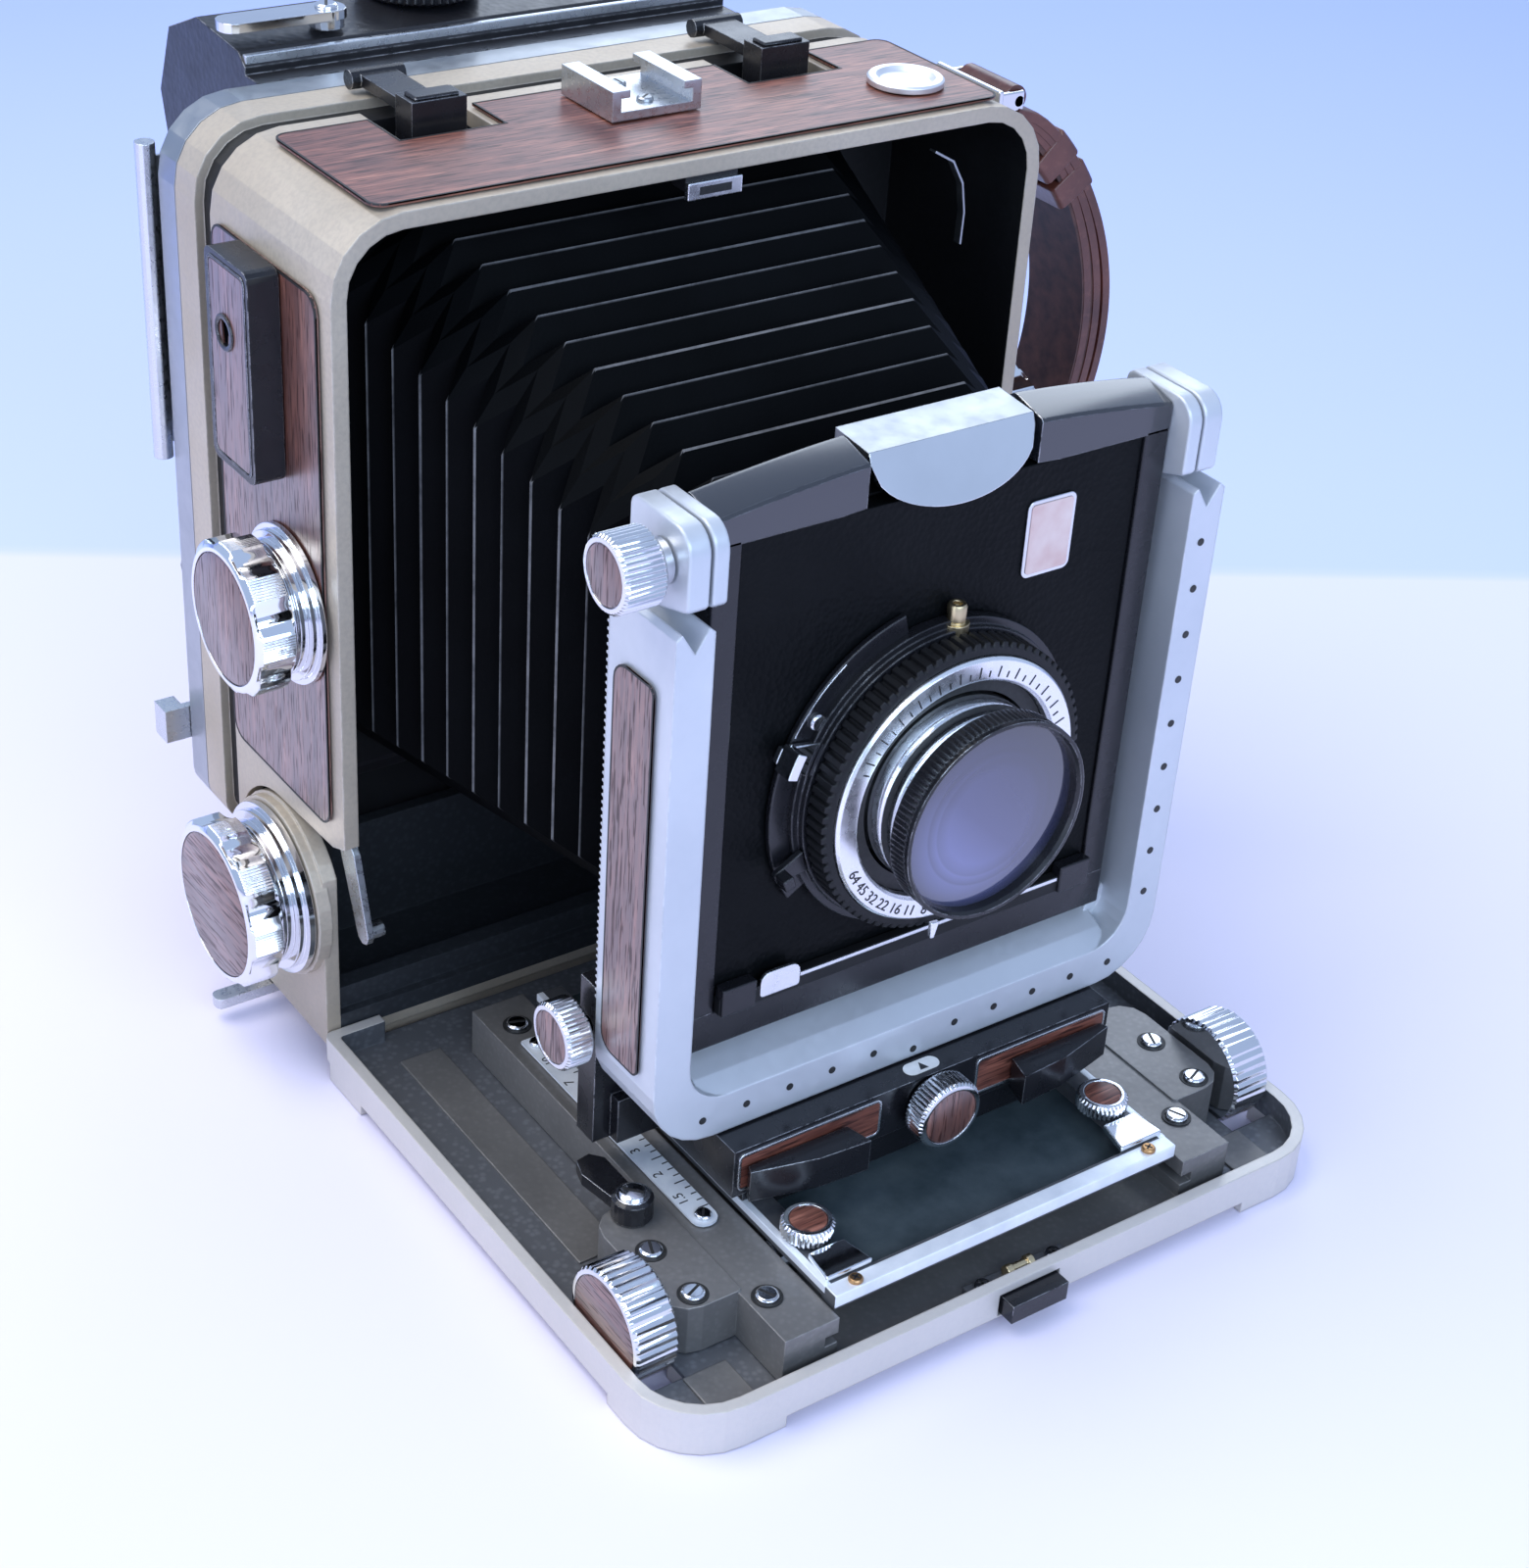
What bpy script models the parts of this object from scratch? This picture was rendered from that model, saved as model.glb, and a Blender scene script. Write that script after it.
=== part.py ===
"""Folding metal view camera for 4x5 inch film, with a roll-film holder on its back.

The camera stands on its base plate and on the four pads of the opened bed.
+X is to the right seen from the front, the lens looks along -Y and +Z is up.
The origin is on the underside of the base plate. Sizes are in millimetres until
the meshes are made, and each moving piece has its origin on its joint's axis.
"""
import math

import bmesh
import bpy
from mathutils import Matrix, Vector

MM = 0.001
GAP = 0.35                      # clearance between neighbouring pieces
SIDES = {"left": -1, "right": 1}

# Rear body: the shell is a hood over the base casting's two round ears.
BODY_HALF = 82.25
BODY_TOP = 195.5
BODY_FRONT, BODY_REAR = -41.1, 8.5
BODY_WALL = 3.25
BODY_CORNER = 15.0
SHELL_BOTTOM = 61.0
GATE_HALF, GATE_BOTTOM, GATE_TOP = 58.0, 60.0, 178.0
SKIN = 0.6                      # veneer thickness
SIDE_FACE = BODY_HALF + GAP + SKIN + GAP

# Base casting and the axis on which the rear body tilts.
TILT_Y, TILT_Z, EAR_RADIUS = -13.0, 38.5, 20.5
BASE_FRONT, BASE_REAR = -30.7, 5.0
BASE_BOTTOM, BASE_FLOOR = 6.5, 9.5

# Bed, its tray walls and the two fixed rails.
BED_HALF, BED_FRONT, BED_REAR = 83.5, -168.4, -31.2
BED_UNDER, BED_FLOOR, BED_RIM, BED_WALL = 2.6, 5.0, 10.4, 2.6
BED_HINGE_Z = 8.0
RAIL_IN, RAIL_OUT, RAIL_TOP = 43.5, 56.0, 16.3
RAIL_FRONT, RAIL_REAR = -163.5, -47.0
SHAFT_Y, SHAFT_Z, SHAFT_RADIUS, PINION_RADIUS = -139.0, 12.2, 1.6, 3.4

# Sliding track, carriage, swing beam and shift slide.
TRACK_HALF, TRACK_TOP, TRACK_REAR = 43.0, 19.3, -52.0
SWING_Y = -118.0
BEAM_HALF, BEAM_FRONT, BEAM_REAR, BEAM_BOTTOM, BEAM_TOP = 47.3, -132.3, -108.0, 24.0, 35.3
STOP_X, STOP_Y = 37.4, -144.0

# Rising U-frame and the lens frame that hangs in it.
U_HALF, U_FRONT, U_REAR, U_BOTTOM, LEG_TOP = 62.5, -126.2, -105.3, 35.8, 149.5
LEG = 8.0
LENS_TILT_Y, LENS_TILT_Z = -115.5, 159.0
LENS_HALF, LENS_FRAME_FRONT, LENS_FRAME_REAR = 51.5, -120.3, -110.0
LENS_Z = 101.5
BOARD_FRONT, BOARD_BOTTOM, BOARD_TOP = -119.5, 60.5, 160.0

ROUND_STEPS = 28


def material(name, colour, roughness, metallic=0.0):
    made = bpy.data.materials.new(name)
    made.use_nodes = True
    shader = made.node_tree.nodes["Principled BSDF"]
    shader.inputs["Base Color"].default_value = (*colour, 1.0)
    shader.inputs["Roughness"].default_value = roughness
    shader.inputs["Metallic"].default_value = metallic
    return made


# ---- shapes: lists of points in millimetres, and the faces between them ----

def place(axis, u, v, along):
    """A point from two coordinates across an axis and one along it."""
    return {"X": (along, u, v), "Y": (u, along, v), "Z": (u, v, along)}[axis]


def prism(axis, outline, start, end):
    count = len(outline)
    points = [place(axis, u, v, start) for u, v in outline]
    points += [place(axis, u, v, end) for u, v in outline]
    faces = [tuple(range(count)), tuple(range(count, 2 * count))]
    faces += [(i, (i + 1) % count, count + (i + 1) % count, count + i) for i in range(count)]
    return points, faces


def block(x_range, y_range, z_range):
    (x0, x1), (y0, y1) = x_range, y_range
    return prism("Z", [(x0, y0), (x1, y0), (x1, y1), (x0, y1)], *z_range)


def band(axis, outer, inner, start, end):
    """A prism with a hole; both outlines have the same number of points."""
    count = len(outer)
    points = [place(axis, u, v, start) for u, v in outer + inner]
    points += [place(axis, u, v, end) for u, v in outer + inner]
    faces = []
    for i in range(count):
        j = (i + 1) % count
        for low, high in ((0, count), (2 * count, 3 * count)):
            faces.append((low + i, low + j, high + j, high + i))
        for low in (0, count):
            faces.append((low + i, low + j, 2 * count + low + j, 2 * count + low + i))
    return points, faces


def turned(axis, centre, profile, steps=ROUND_STEPS, closed=False):
    """A profile of (position along the axis, radius) turned round the axis."""
    points, rings, faces = [], [], []
    for along, radius in profile:
        ring = []
        for step in range(1 if radius == 0 else steps):
            angle = 2 * math.pi * step / steps
            ring.append(len(points))
            points.append(place(axis, centre[0] + radius * math.cos(angle),
                                centre[1] + radius * math.sin(angle), along))
        rings.append(ring)
    pairs = list(zip(rings, rings[1:]))
    if closed:
        pairs.append((rings[-1], rings[0]))
    for first, second in pairs:
        for step in range(steps):
            corners = [first[step % len(first)], first[(step + 1) % len(first)],
                       second[(step + 1) % len(second)], second[step % len(second)]]
            faces.append(tuple(dict.fromkeys(corners)))
    if not closed:
        faces += [tuple(ring) for ring in (rings[0], rings[-1]) if len(ring) > 1]
    return points, faces


def rod(axis, centre, radius, start, end, steps=ROUND_STEPS):
    return turned(axis, centre, [(start, radius), (end, radius)], steps)


def arc(centre, radius, first, last, steps):
    """Points on a circle between two angles in degrees, both ends included."""
    angles = [math.radians(first + (last - first) * i / steps) for i in range(steps + 1)]
    return [(centre[0] + radius * math.cos(a), centre[1] + radius * math.sin(a)) for a in angles]


def rounded(low, high, radii, steps=5):
    """A rectangle with rounded corners: radii for low-low, high-low, high-high, low-high."""
    (u0, v0), (u1, v1) = low, high
    corners = [(u0, v0, 1, 1, 180), (u1, v0, -1, 1, 270), (u1, v1, -1, -1, 0), (u0, v1, 1, -1, 90)]
    outline = []
    for (u, v, du, dv, first), radius in zip(corners, radii):
        centre = (u + du * radius, v + dv * radius)
        outline += arc(centre, radius, first, first + 90, steps)
    return outline


def mirrored(shape):
    points, faces = shape
    return [(-x, y, z) for x, y, z in points], faces


def both_sides(shape):
    return [shape, mirrored(shape)]


# ---- nodes ----

def mesh_object(name, shapes):
    mesh = bpy.data.meshes.new(name)
    points, faces = [], []
    for shape_points, shape_faces in shapes:
        faces += [tuple(len(points) + i for i in face) for face in shape_faces]
        points += [tuple(c * MM for c in point) for point in shape_points]
    mesh.from_pydata(points, [], faces)
    made = bmesh.new()
    made.from_mesh(mesh)
    bmesh.ops.remove_doubles(made, verts=made.verts, dist=1e-7)
    bmesh.ops.recalc_face_normals(made, faces=made.faces)
    made.to_mesh(mesh)
    made.free()
    result = bpy.data.objects.new(name, mesh)
    bpy.context.collection.objects.link(result)
    return result


def combine(piece, operation, helpers):
    """Join the helpers to a piece, or cut them out of it, and remove them."""
    for helper in helpers:
        modifier = piece.modifiers.new(operation.title(), "BOOLEAN")
        modifier.operation = operation
        modifier.object = helper
    view = bpy.context.evaluated_depsgraph_get()
    piece.data = bpy.data.meshes.new_from_object(piece.evaluated_get(view))
    piece.modifiers.clear()
    for helper in helpers:
        bpy.data.objects.remove(helper)


def node(name, shapes, finish, add=(), cut=(), then=(), origin=(0.0, 0.0, 0.0)):
    """One named piece: its shapes and those in add, less those in cut, plus those in then."""
    piece = mesh_object(name, shapes)
    for operation, operands in (("UNION", add), ("DIFFERENCE", cut), ("UNION", then)):
        if operands:
            combine(piece, operation, [mesh_object(name + "_helper", [shape]) for shape in operands])
    start = Vector(origin) * MM
    piece.data.transform(Matrix.Translation(-start))
    piece.location = start
    piece.data.materials.clear()
    piece.data.materials.append(finish)
    piece.data.shade_smooth()
    piece.data.set_sharp_from_angle(angle=math.radians(35))
    return piece


def side_knob(name, side, centre, start, profile, finish):
    """A knob turned on X, from the side face outwards."""
    outwards = [(side * (start + along), radius) for along, radius in profile]
    return node(name, [turned("X", centre, outwards)], finish,
                origin=(side * start, centre[0], centre[1]))


def make_materials():
    return {
        "paint": material("champagne_paint", (0.52, 0.45, 0.36), 0.5, 0.2),
        "hammered": material("hammered_grey", (0.20, 0.19, 0.18), 0.5, 0.5),
        "black": material("black_enamel", (0.02, 0.02, 0.022), 0.35),
        "crinkle": material("black_crinkle", (0.03, 0.03, 0.033), 0.7),
        "chrome": material("chrome", (0.75, 0.76, 0.78), 0.15, 1.0),
        "satin": material("satin_silver", (0.62, 0.64, 0.66), 0.4, 0.8),
        "wood": material("rosewood", (0.22, 0.09, 0.06), 0.4),
        "leather": material("brown_leather", (0.16, 0.05, 0.035), 0.45),
        "bellows": material("bellows_cloth", (0.015, 0.015, 0.017), 0.6),
        "glass": material("coated_glass", (0.12, 0.11, 0.2), 0.05),
        "white": material("scale_silver", (0.8, 0.8, 0.78), 0.4, 0.3),
    }


# ---- base ----

def make_base(look):
    plate = prism("Z", rounded((-78, BASE_FRONT + 1.5), (78, 6), (4, 4, 4, 4), 3), 0, BASE_BOTTOM - GAP)
    bush = rod("Z", (0, -16), 4.8, -1, BASE_BOTTOM)
    node("base_plate", [plate], look["paint"], cut=[bush])

    centre = (TILT_Y, TILT_Z)
    front_angle = 180 - math.degrees(math.acos((TILT_Y - BASE_FRONT) / EAR_RADIUS))
    rear_angle = -math.degrees(math.acos((BASE_REAR - TILT_Y) / EAR_RADIUS))
    ear = [(BASE_FRONT, BASE_BOTTOM), (BASE_REAR, BASE_BOTTOM)]
    ear += arc(centre, EAR_RADIUS, rear_angle, front_angle, 18)
    inner = BODY_HALF - BODY_WALL
    ears = both_sides(prism("X", ear, inner, BODY_HALF))
    floor = block((-BODY_HALF, BODY_HALF), (BASE_FRONT, BASE_REAR), (BASE_BOTTOM, BASE_FLOOR))
    sill = block((-inner - 1, inner + 1), (BASE_FRONT, -27.7), (BASE_BOTTOM, 13.4))
    step = block((-inner - 1, inner + 1), (-28.5, -24.0), (BASE_BOTTOM, 18.7))
    rear = block((-inner - 1, inner + 1), (2.0, BASE_REAR), (BASE_BOTTOM, 36.5))
    bosses = both_sides(rod("X", centre, EAR_RADIUS - 0.6, BODY_HALF - 1, BODY_HALF + 2))
    bores = both_sides(rod("X", centre, 5.2, inner - 1, BODY_HALF + 3, 16))
    node("base_casting", [floor], look["paint"], add=ears + [sill, step, rear] + bosses, cut=bores)

    profile = [(0, 0), (0, 19.0), (2.6, 19.0), (2.6, 17.0), (4.6, 17.0), (4.6, 14.6), (5.6, 14.6),
               (6.4, 17.6), (13.0, 18.2), (14.3, 17.2), (14.3, 0)]
    for label, side in SIDES.items():
        side_knob("tilt_lock_knob_" + label, side, centre, BODY_HALF + 2 + GAP, profile, look["chrome"])
        arm = [(-36.5, 57.5), *arc((-33.5, 58), 4, 80, 0, 4), (-37.0, 40), *arc((-39.5, 40), 2.5, 0, -180, 4)]
        node("strut_" + label, [prism("X", arm, side * 76.4, side * 77.9)], look["chrome"],
             add=[rod("X", (-39.5, 40), 1.8, side * 73.4, side * 77.9, 12)],
             origin=(side * 77, -34, 58))
    stub = prism("Z", rounded((-95.5, -4.5), (-79.0, -0.5), (1.5, 1.5, 1.5, 1.5), 3), 3.7, BASE_BOTTOM - GAP)
    node("swing_lock_lever", [stub], look["satin"], origin=(-80.8, -2.5, 5.0))


# ---- rear body ----

def make_shell(look):
    wall = BODY_WALL
    outer = rounded((-BODY_HALF, 40), (BODY_HALF, BODY_TOP), (1, 1, BODY_CORNER, BODY_CORNER))
    inner = rounded((-BODY_HALF + wall, 20), (BODY_HALF - wall, BODY_TOP - wall),
                    (1, 1, BODY_CORNER - wall, BODY_CORNER - wall))
    hood = prism("Y", outer, BODY_FRONT, BODY_REAR)
    hollow = prism("Y", inner, BODY_FRONT - 1, BODY_REAR - 4)
    gate = block((-GATE_HALF, GATE_HALF), (BODY_FRONT, BODY_REAR + 1), (GATE_BOTTOM, GATE_TOP))
    clearance = EAR_RADIUS + 0.9
    below = [(BODY_FRONT - 1, 30), (BODY_REAR + 1, 30), (BODY_REAR + 1, 44.0)]
    below += arc((TILT_Y, TILT_Z), clearance, 20, 90, 8)
    below += [(-36.0, SHELL_BOTTOM), (BODY_FRONT - 1, SHELL_BOTTOM + 2.5)]
    notches = both_sides(block((30, 50), (-9, BODY_REAR + 1), (BODY_TOP - 12, BODY_TOP + 1)))
    arm = rounded((TILT_Y - 9, TILT_Z - 9), (TILT_Y + 9, 76), (8.9, 8.9, 1, 1))
    arms = both_sides(prism("X", arm, 75.6, BODY_HALF - wall - GAP))
    webs = both_sides(block((75.6, BODY_HALF - 1), (TILT_Y - 9, TILT_Y + 9), (64, 76)))
    catch = block((-6, 6), (BODY_FRONT + 1.2, BODY_FRONT + 6), (BODY_TOP - BODY_WALL - 3.4, BODY_TOP - 1))
    pins = both_sides(rod("X", (TILT_Y, TILT_Z), 4.8, 76, BODY_HALF + 1.6, 16))
    node("shell", [hood], look["paint"], cut=[hollow, gate, prism("X", below, -90, 90), *notches],
         then=[*webs, *arms, *pins, catch])


def make_body_trim(look):
    top = rounded((-72, -38.6), (72, 2.4), (3, 3, 3, 3), 3)
    top_skin = prism("Z", top, BODY_TOP + GAP, BODY_TOP + GAP + SKIN)
    side = rounded((-36.8, 66.0), (6.5, 180.5), (4, 4, 4, 4), 3)
    side_skins = both_sides(prism("X", side, BODY_HALF + GAP, BODY_HALF + GAP + SKIN))
    notches = both_sides(block((28.6, 51.4), (-10.4, 5), (BODY_TOP, BODY_TOP + 3)))
    node("veneer_top", [top_skin], look["wood"], cut=notches)
    node("veneer_right", [side_skins[0]], look["wood"])
    node("veneer_left", [side_skins[1]], look["wood"])

    deck = BODY_TOP + 2 * GAP + SKIN
    foot = block((-10.3, 10.3), (-20, -1), (deck, deck + 1.8))
    cheeks = both_sides(block((8.3, 10.3), (-20, -1), (deck, deck + 6)))
    lips = both_sides(block((6.3, 10.3), (-20, -1), (deck + 4.5, deck + 6)))
    level = turned("Z", (58.0, -24.3), [(deck, 0), (deck, 8), (deck + 1.4, 8), (deck + 1.4, 5.8),
                                        (deck + 0.8, 5.8), (deck + 0.8, 0)])
    node("accessory_shoe", [foot], look["chrome"], add=cheeks + lips)
    node("level_disc", [level], look["chrome"])

    grip = prism("X", rounded((-23.1, 138), (-5.2, 181), (2, 2, 2, 2), 3), -SIDE_FACE, -SIDE_FACE - 6.4)
    node("side_block", [grip], look["black"], cut=[rod("X", (-13, 166), 3.2, -SIDE_FACE - 8, -SIDE_FACE - 1, 16)])

    profile = [(0, 0), (0, 16.4), (1.6, 16.4), (1.6, 14.4), (3.4, 14.4), (3.4, 12.4), (5.0, 12.4),
               (5.8, 15.2), (12.9, 15.7), (14.1, 14.8), (14.1, 0)]
    for label, side in SIDES.items():
        side_knob("swing_knob_" + label, side, (-22.5, 111.4), SIDE_FACE, profile, look["chrome"])



def strap_line(lower, upper, reach, thickness, steps):
    """The outline of the hand strap across its width: out to reach, and back inside."""
    outer, inner = [], []
    for i in range(steps + 1):
        part = i / steps
        swell = math.sin(math.pi * part) ** 0.62
        height = lower + (upper - lower) * part
        outer.append((90.5 + (reach - 90.5) * swell, height))
        inner.append((90.5 + (reach - thickness - 90.5) * swell - 3.5, height))
    return outer + inner[::-1]


def make_strap(look):
    outline = strap_line(74, 187, 125, 9, 14)
    lugs = [block((SIDE_FACE, 92), (-21, -7), (height, height + 5)) for height in (70.5, 185.5)]
    node("hand_strap", [prism("Y", outline, -24, -4)], look["leather"], add=lugs)


def make_back(look):
    outer = rounded((-BODY_HALF, 37), (BODY_HALF, BODY_TOP), (6, 6, BODY_CORNER, BODY_CORNER))
    inset = rounded((-BODY_HALF + 2, 39), (BODY_HALF - 2, BODY_TOP - 2), (5, 5, 13, 13))
    gate = rounded((-GATE_HALF - 4, GATE_BOTTOM - 4), (GATE_HALF + 4, GATE_TOP + 4), (2, 2, 2, 2))
    seal = band("Y", inset, gate, BODY_REAR + GAP, 16.5)
    node("back_frame", [band("Y", outer, gate, 15.5, 24.2)], look["paint"], add=[seal])
    node("holder_frame", [band("Y", outer, gate, 24.55, 32.0)], look["satin"])

    insert = block((-60, 60), (32.35, 41), (60, 176))
    profile = [(38, 152), (38, 197), (41, 199.5), (60, 201), (74, 195), (80, 180), (74, 158), (60, 152)]
    upper = prism("X", profile, -60, 55)
    lip = block((-60, 55), (32.35, 44), (186.5, 195.5))
    lower = prism("X", [(38, 44), (60, 44), (74, 50), (80, 66), (74, 84), (38, 88)], -62, 50)
    slot = block((-66, 50), (35.1, 36.9), (120, 184))
    node("roll_holder", [upper], look["crinkle"], add=[insert, lip, lower], cut=[slot])

    slide = block((-82, 47), (35.6, 36.4), (121, 183))
    handle = prism("Z", rounded((-85, 34), (-81, 38), (1.8, 1.8, 1.8, 1.8), 3), 118, 186)
    node("dark_slide", [slide], look["satin"], add=[handle])

    upper_bar = block((-58, 84.5), (32.35, 34.2), (178.2, 184.5))
    lower_bar = block((-84.5, 58), (32.35, 34.2), (50.5, 58.5))
    node("back_lock_upper", [upper_bar], look["chrome"], add=[block((83.5, 88), (32.35, 38), (178.2, 184.5))])
    node("back_lock_lower", [lower_bar], look["chrome"], add=[block((-88, -83.5), (32.35, 38), (50.5, 58.5))])

    node("wind_knob", [turned("Z", (-10, 58), [(201.3, 0), (201.3, 13), (208.5, 13), (209.5, 12), (209.5, 0)])],
         look["black"], origin=(-10, 58, 201.3))
    lever = prism("Z", rounded((-62, 42), (-34, 49), (3, 3, 3, 3), 3), 202.5, 204.5)
    node("wind_lever", [lever], look["chrome"], add=[rod("Z", (-38, 45.5), 3.6, 200.6, 204.5, 16)],
         origin=(-38, 45.5, 201))


def make_latches(look):
    hinge_y, hinge_z = 20.0, 198.2
    for label, side in SIDES.items():
        low, high = sorted((side * 34.5, side * 46.5))
        clip = block((low, high), (-6, 0.5), (BODY_TOP - 6, 201.5))
        arm = block((low + 2, high - 2), (0, hinge_y), (197.0, 199.4))
        barrel = rod("X", (hinge_y, hinge_z), 2.0, low, high, 12)
        node("top_latch_" + label, [clip], look["black"], add=[arm, barrel],
             origin=(side * 40.5, hinge_y, hinge_z))


# ---- bed ----

def make_bed(look):
    corners = (16, 16, 2, 2)
    outer = rounded((-BED_HALF, BED_FRONT), (BED_HALF, BED_REAR), corners, 6)
    inner = rounded((-BED_HALF + BED_WALL, BED_FRONT + BED_WALL), (BED_HALF - BED_WALL, BED_REAR - BED_WALL),
                    (16 - BED_WALL, 16 - BED_WALL, 1, 1), 6)
    tray = prism("Z", outer, 0, BED_RIM)
    hollow = prism("Z", inner, BED_FLOOR, BED_RIM + 1)
    middle = block((-58, 58), (BED_FRONT - 1, BED_REAR + 1), (-1, BED_UNDER))
    waist = block((-90, 90), (-146, -48), (-1, BED_UNDER))
    heel = block((-90, 90), (-34, BED_REAR + 1), (-1, BED_FLOOR - 0.4))
    slots = both_sides(block((70.1, BED_HALF - BED_WALL), (SHAFT_Y - 13, SHAFT_Y + 13), (-1, BED_FLOOR + 1)))
    pocket = block((-7.6, 7.6), (BED_FRONT - 1, BED_FRONT + 5), (3.0, 8.4))
    mouth = block((-70, 70), (BED_REAR - 4, BED_REAR + 1), (BED_FLOOR, BED_RIM + 1))
    node("bed_tray", [tray], look["paint"],
         cut=[hollow, middle, waist, heel, *slots, pocket, mouth], origin=(0, BED_REAR, BED_HINGE_Z))

    channel = block((-90, 90), (SHAFT_Y - 2.1, SHAFT_Y + 2.1), (0, SHAFT_Z + 2.1))
    under = BED_FLOOR + GAP
    web = block((-RAIL_OUT, RAIL_OUT), (RAIL_FRONT, RAIL_REAR), (under, under + 1.6))
    rails = both_sides(block((RAIL_IN, RAIL_OUT), (RAIL_FRONT, RAIL_REAR), (under, RAIL_TOP)))
    grooves = both_sides(block((RAIL_IN - 1, RAIL_IN + 3), (RAIL_FRONT - 1, RAIL_REAR + 1), (10.2, 12.6)))
    housings = both_sides(prism("Z", rounded((RAIL_OUT - 1, -148), (69.8, -116), (1, 6, 6, 1), 3), under, 16.7))
    screws = []
    for x, y in ((63.8, -144.2), (64.2, -130.2), (52.0, -151.8), (50.2, -56.0)):
        screws += both_sides(rod("Z", (x, y), 2.2, 15.0, 17.3, 12))
    node("bed_rails", [web], look["hammered"], add=rails + housings + screws, cut=[channel, *grooves])

    plate = prism("Z", rounded((-53, -130), (-47.4, -62), (2.5, 2.5, 0.5, 0.5), 3),
                  RAIL_TOP + GAP, RAIL_TOP + GAP + 0.5)
    node("scale_plate", [plate], look["white"])
    button = block((-7, 7), (BED_FRONT - 3.6, BED_FRONT + 1.8), (3.5, 7.9))
    node("bed_latch_button", [button], look["black"])
    hub_x, hub_y, hub_z = -61.7, -119.5, 16.7 + GAP
    hub = turned("Z", (hub_x, hub_y), [(hub_z, 0), (hub_z, 4.2), (hub_z + 4.4, 4.2), (hub_z + 5, 3.4),
                                       (hub_z + 5, 0)], 20)
    arm = prism("Z", [(-64.4, -119), (-66.2, -108), (-65, -104), (-61.8, -103.4), (-59.6, -106), (-59.6, -118)],
                hub_z + 0.6, hub_z + 3.4)
    node("track_lock_lever", [hub], look["black"], add=[arm], origin=(hub_x, hub_y, hub_z))


def make_focus_drive(look):
    axis = (SHAFT_Y, SHAFT_Z)
    shaft = rod("X", axis, SHAFT_RADIUS, -70.3, 70.3, 12)
    pinions = both_sides(rod("X", axis, PINION_RADIUS, 39.2, 42.6, 14))
    node("focus_shaft", [shaft], look["chrome"], add=pinions, origin=(0, *axis))
    profile = [(0, 0), (0, 11.0), (0.8, 11.9), (8.8, 11.9), (9.7, 11.0), (9.7, 0)]
    for label, side in SIDES.items():
        side_knob("focus_knob_" + label, side, axis, 70.65, profile, look["chrome"])


# ---- front standard ----

def make_track(look):
    floor = block((-38, 38), (-158, TRACK_REAR), (14.3, 15.5))
    walls = both_sides(block((36.9, 38.4), (-158, TRACK_REAR), (14.3, TRACK_TOP)))
    rails = both_sides(block((36.9, TRACK_HALF), (-158, TRACK_REAR), (16.6, TRACK_TOP)))
    nose = block((-TRACK_HALF, TRACK_HALF), (-161, -157), (16.0, TRACK_TOP))
    clips = both_sides(block((33.5, 41), (-155.5, -149.8), (TRACK_TOP - 0.5, TRACK_TOP + 1.3)))
    node("track", [floor], look["hammered"], add=walls + rails + [nose] + clips)
    top = TRACK_TOP + GAP
    for label, side in SIDES.items():
        profile = [(top, 0), (top, 5.0), (top + 0.6, 5.4), (top + 3.2, 5.4), (top + 3.8, 4.8), (top + 3.8, 0)]
        node("stop_knob_" + label, [turned("Z", (side * STOP_X, STOP_Y), profile, 20)], look["chrome"],
             origin=(side * STOP_X, STOP_Y, top))
    shoe = block((-36.4, 36.4), (-130, -104), (15.5 + GAP, 21))
    saddle = block((-43, 43), (-130, -104), (TRACK_TOP + GAP, BEAM_BOTTOM - GAP))
    node("carriage", [shoe], look["black"], add=[saddle])


def make_beam(look):
    beam = block((-BEAM_HALF, BEAM_HALF), (BEAM_FRONT, BEAM_REAR), (BEAM_BOTTOM, BEAM_TOP))
    node("swing_beam", [beam], look["black"], origin=(0, SWING_Y, BEAM_BOTTOM))
    start = BEAM_FRONT - GAP
    profile = [(start, 0), (start, 5), (start - 1.6, 5), (start - 2.0, 7.6), (start - 6.6, 7.8),
               (start - 7.4, 7.0), (start - 7.4, 0)]
    node("shift_lock_knob", [turned("Y", (0, 29.8), profile, 24)], look["chrome"], origin=(0, start, 29.8))
    for label, side in SIDES.items():
        wing = [(44.5, -133.2), (45.2, -135.0), (31, -138.4), (19.5, -139.2), (21, -133.2)]
        wing = [(side * x, y) for x, y in wing]
        node("wing_lever_" + label, [prism("Z", wing, BEAM_BOTTOM + 0.2, 31.5)], look["black"],
             origin=(side * 44, -134, BEAM_BOTTOM))


def make_slide(look):
    bar = block((-58, 58), (BEAM_REAR + GAP, -100.5), (24.5, 35.0))
    posts = both_sides(block((54.8, 62.0), (U_REAR + GAP, -99.0), (24.5, 62.0)))
    bores = [rod("X", (-102, 52), 1.9, -63, -54, 12)]
    node("shift_slide", [bar], look["black"], add=posts, cut=bores)
    profile = [(0, 0), (0, 3), (1.2, 3), (1.4, 6.6), (6.6, 7.0), (7.3, 6.3), (7.3, 0)]
    outwards = [(-63.2 - along, radius) for along, radius in profile]
    node("rise_knob", [turned("X", (-102, 52), outwards, 24)], look["chrome"],
         add=[rod("X", (-102, 52), 1.5, -63.4, -55, 12)], origin=(-63.2, -102, 52))


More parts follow.
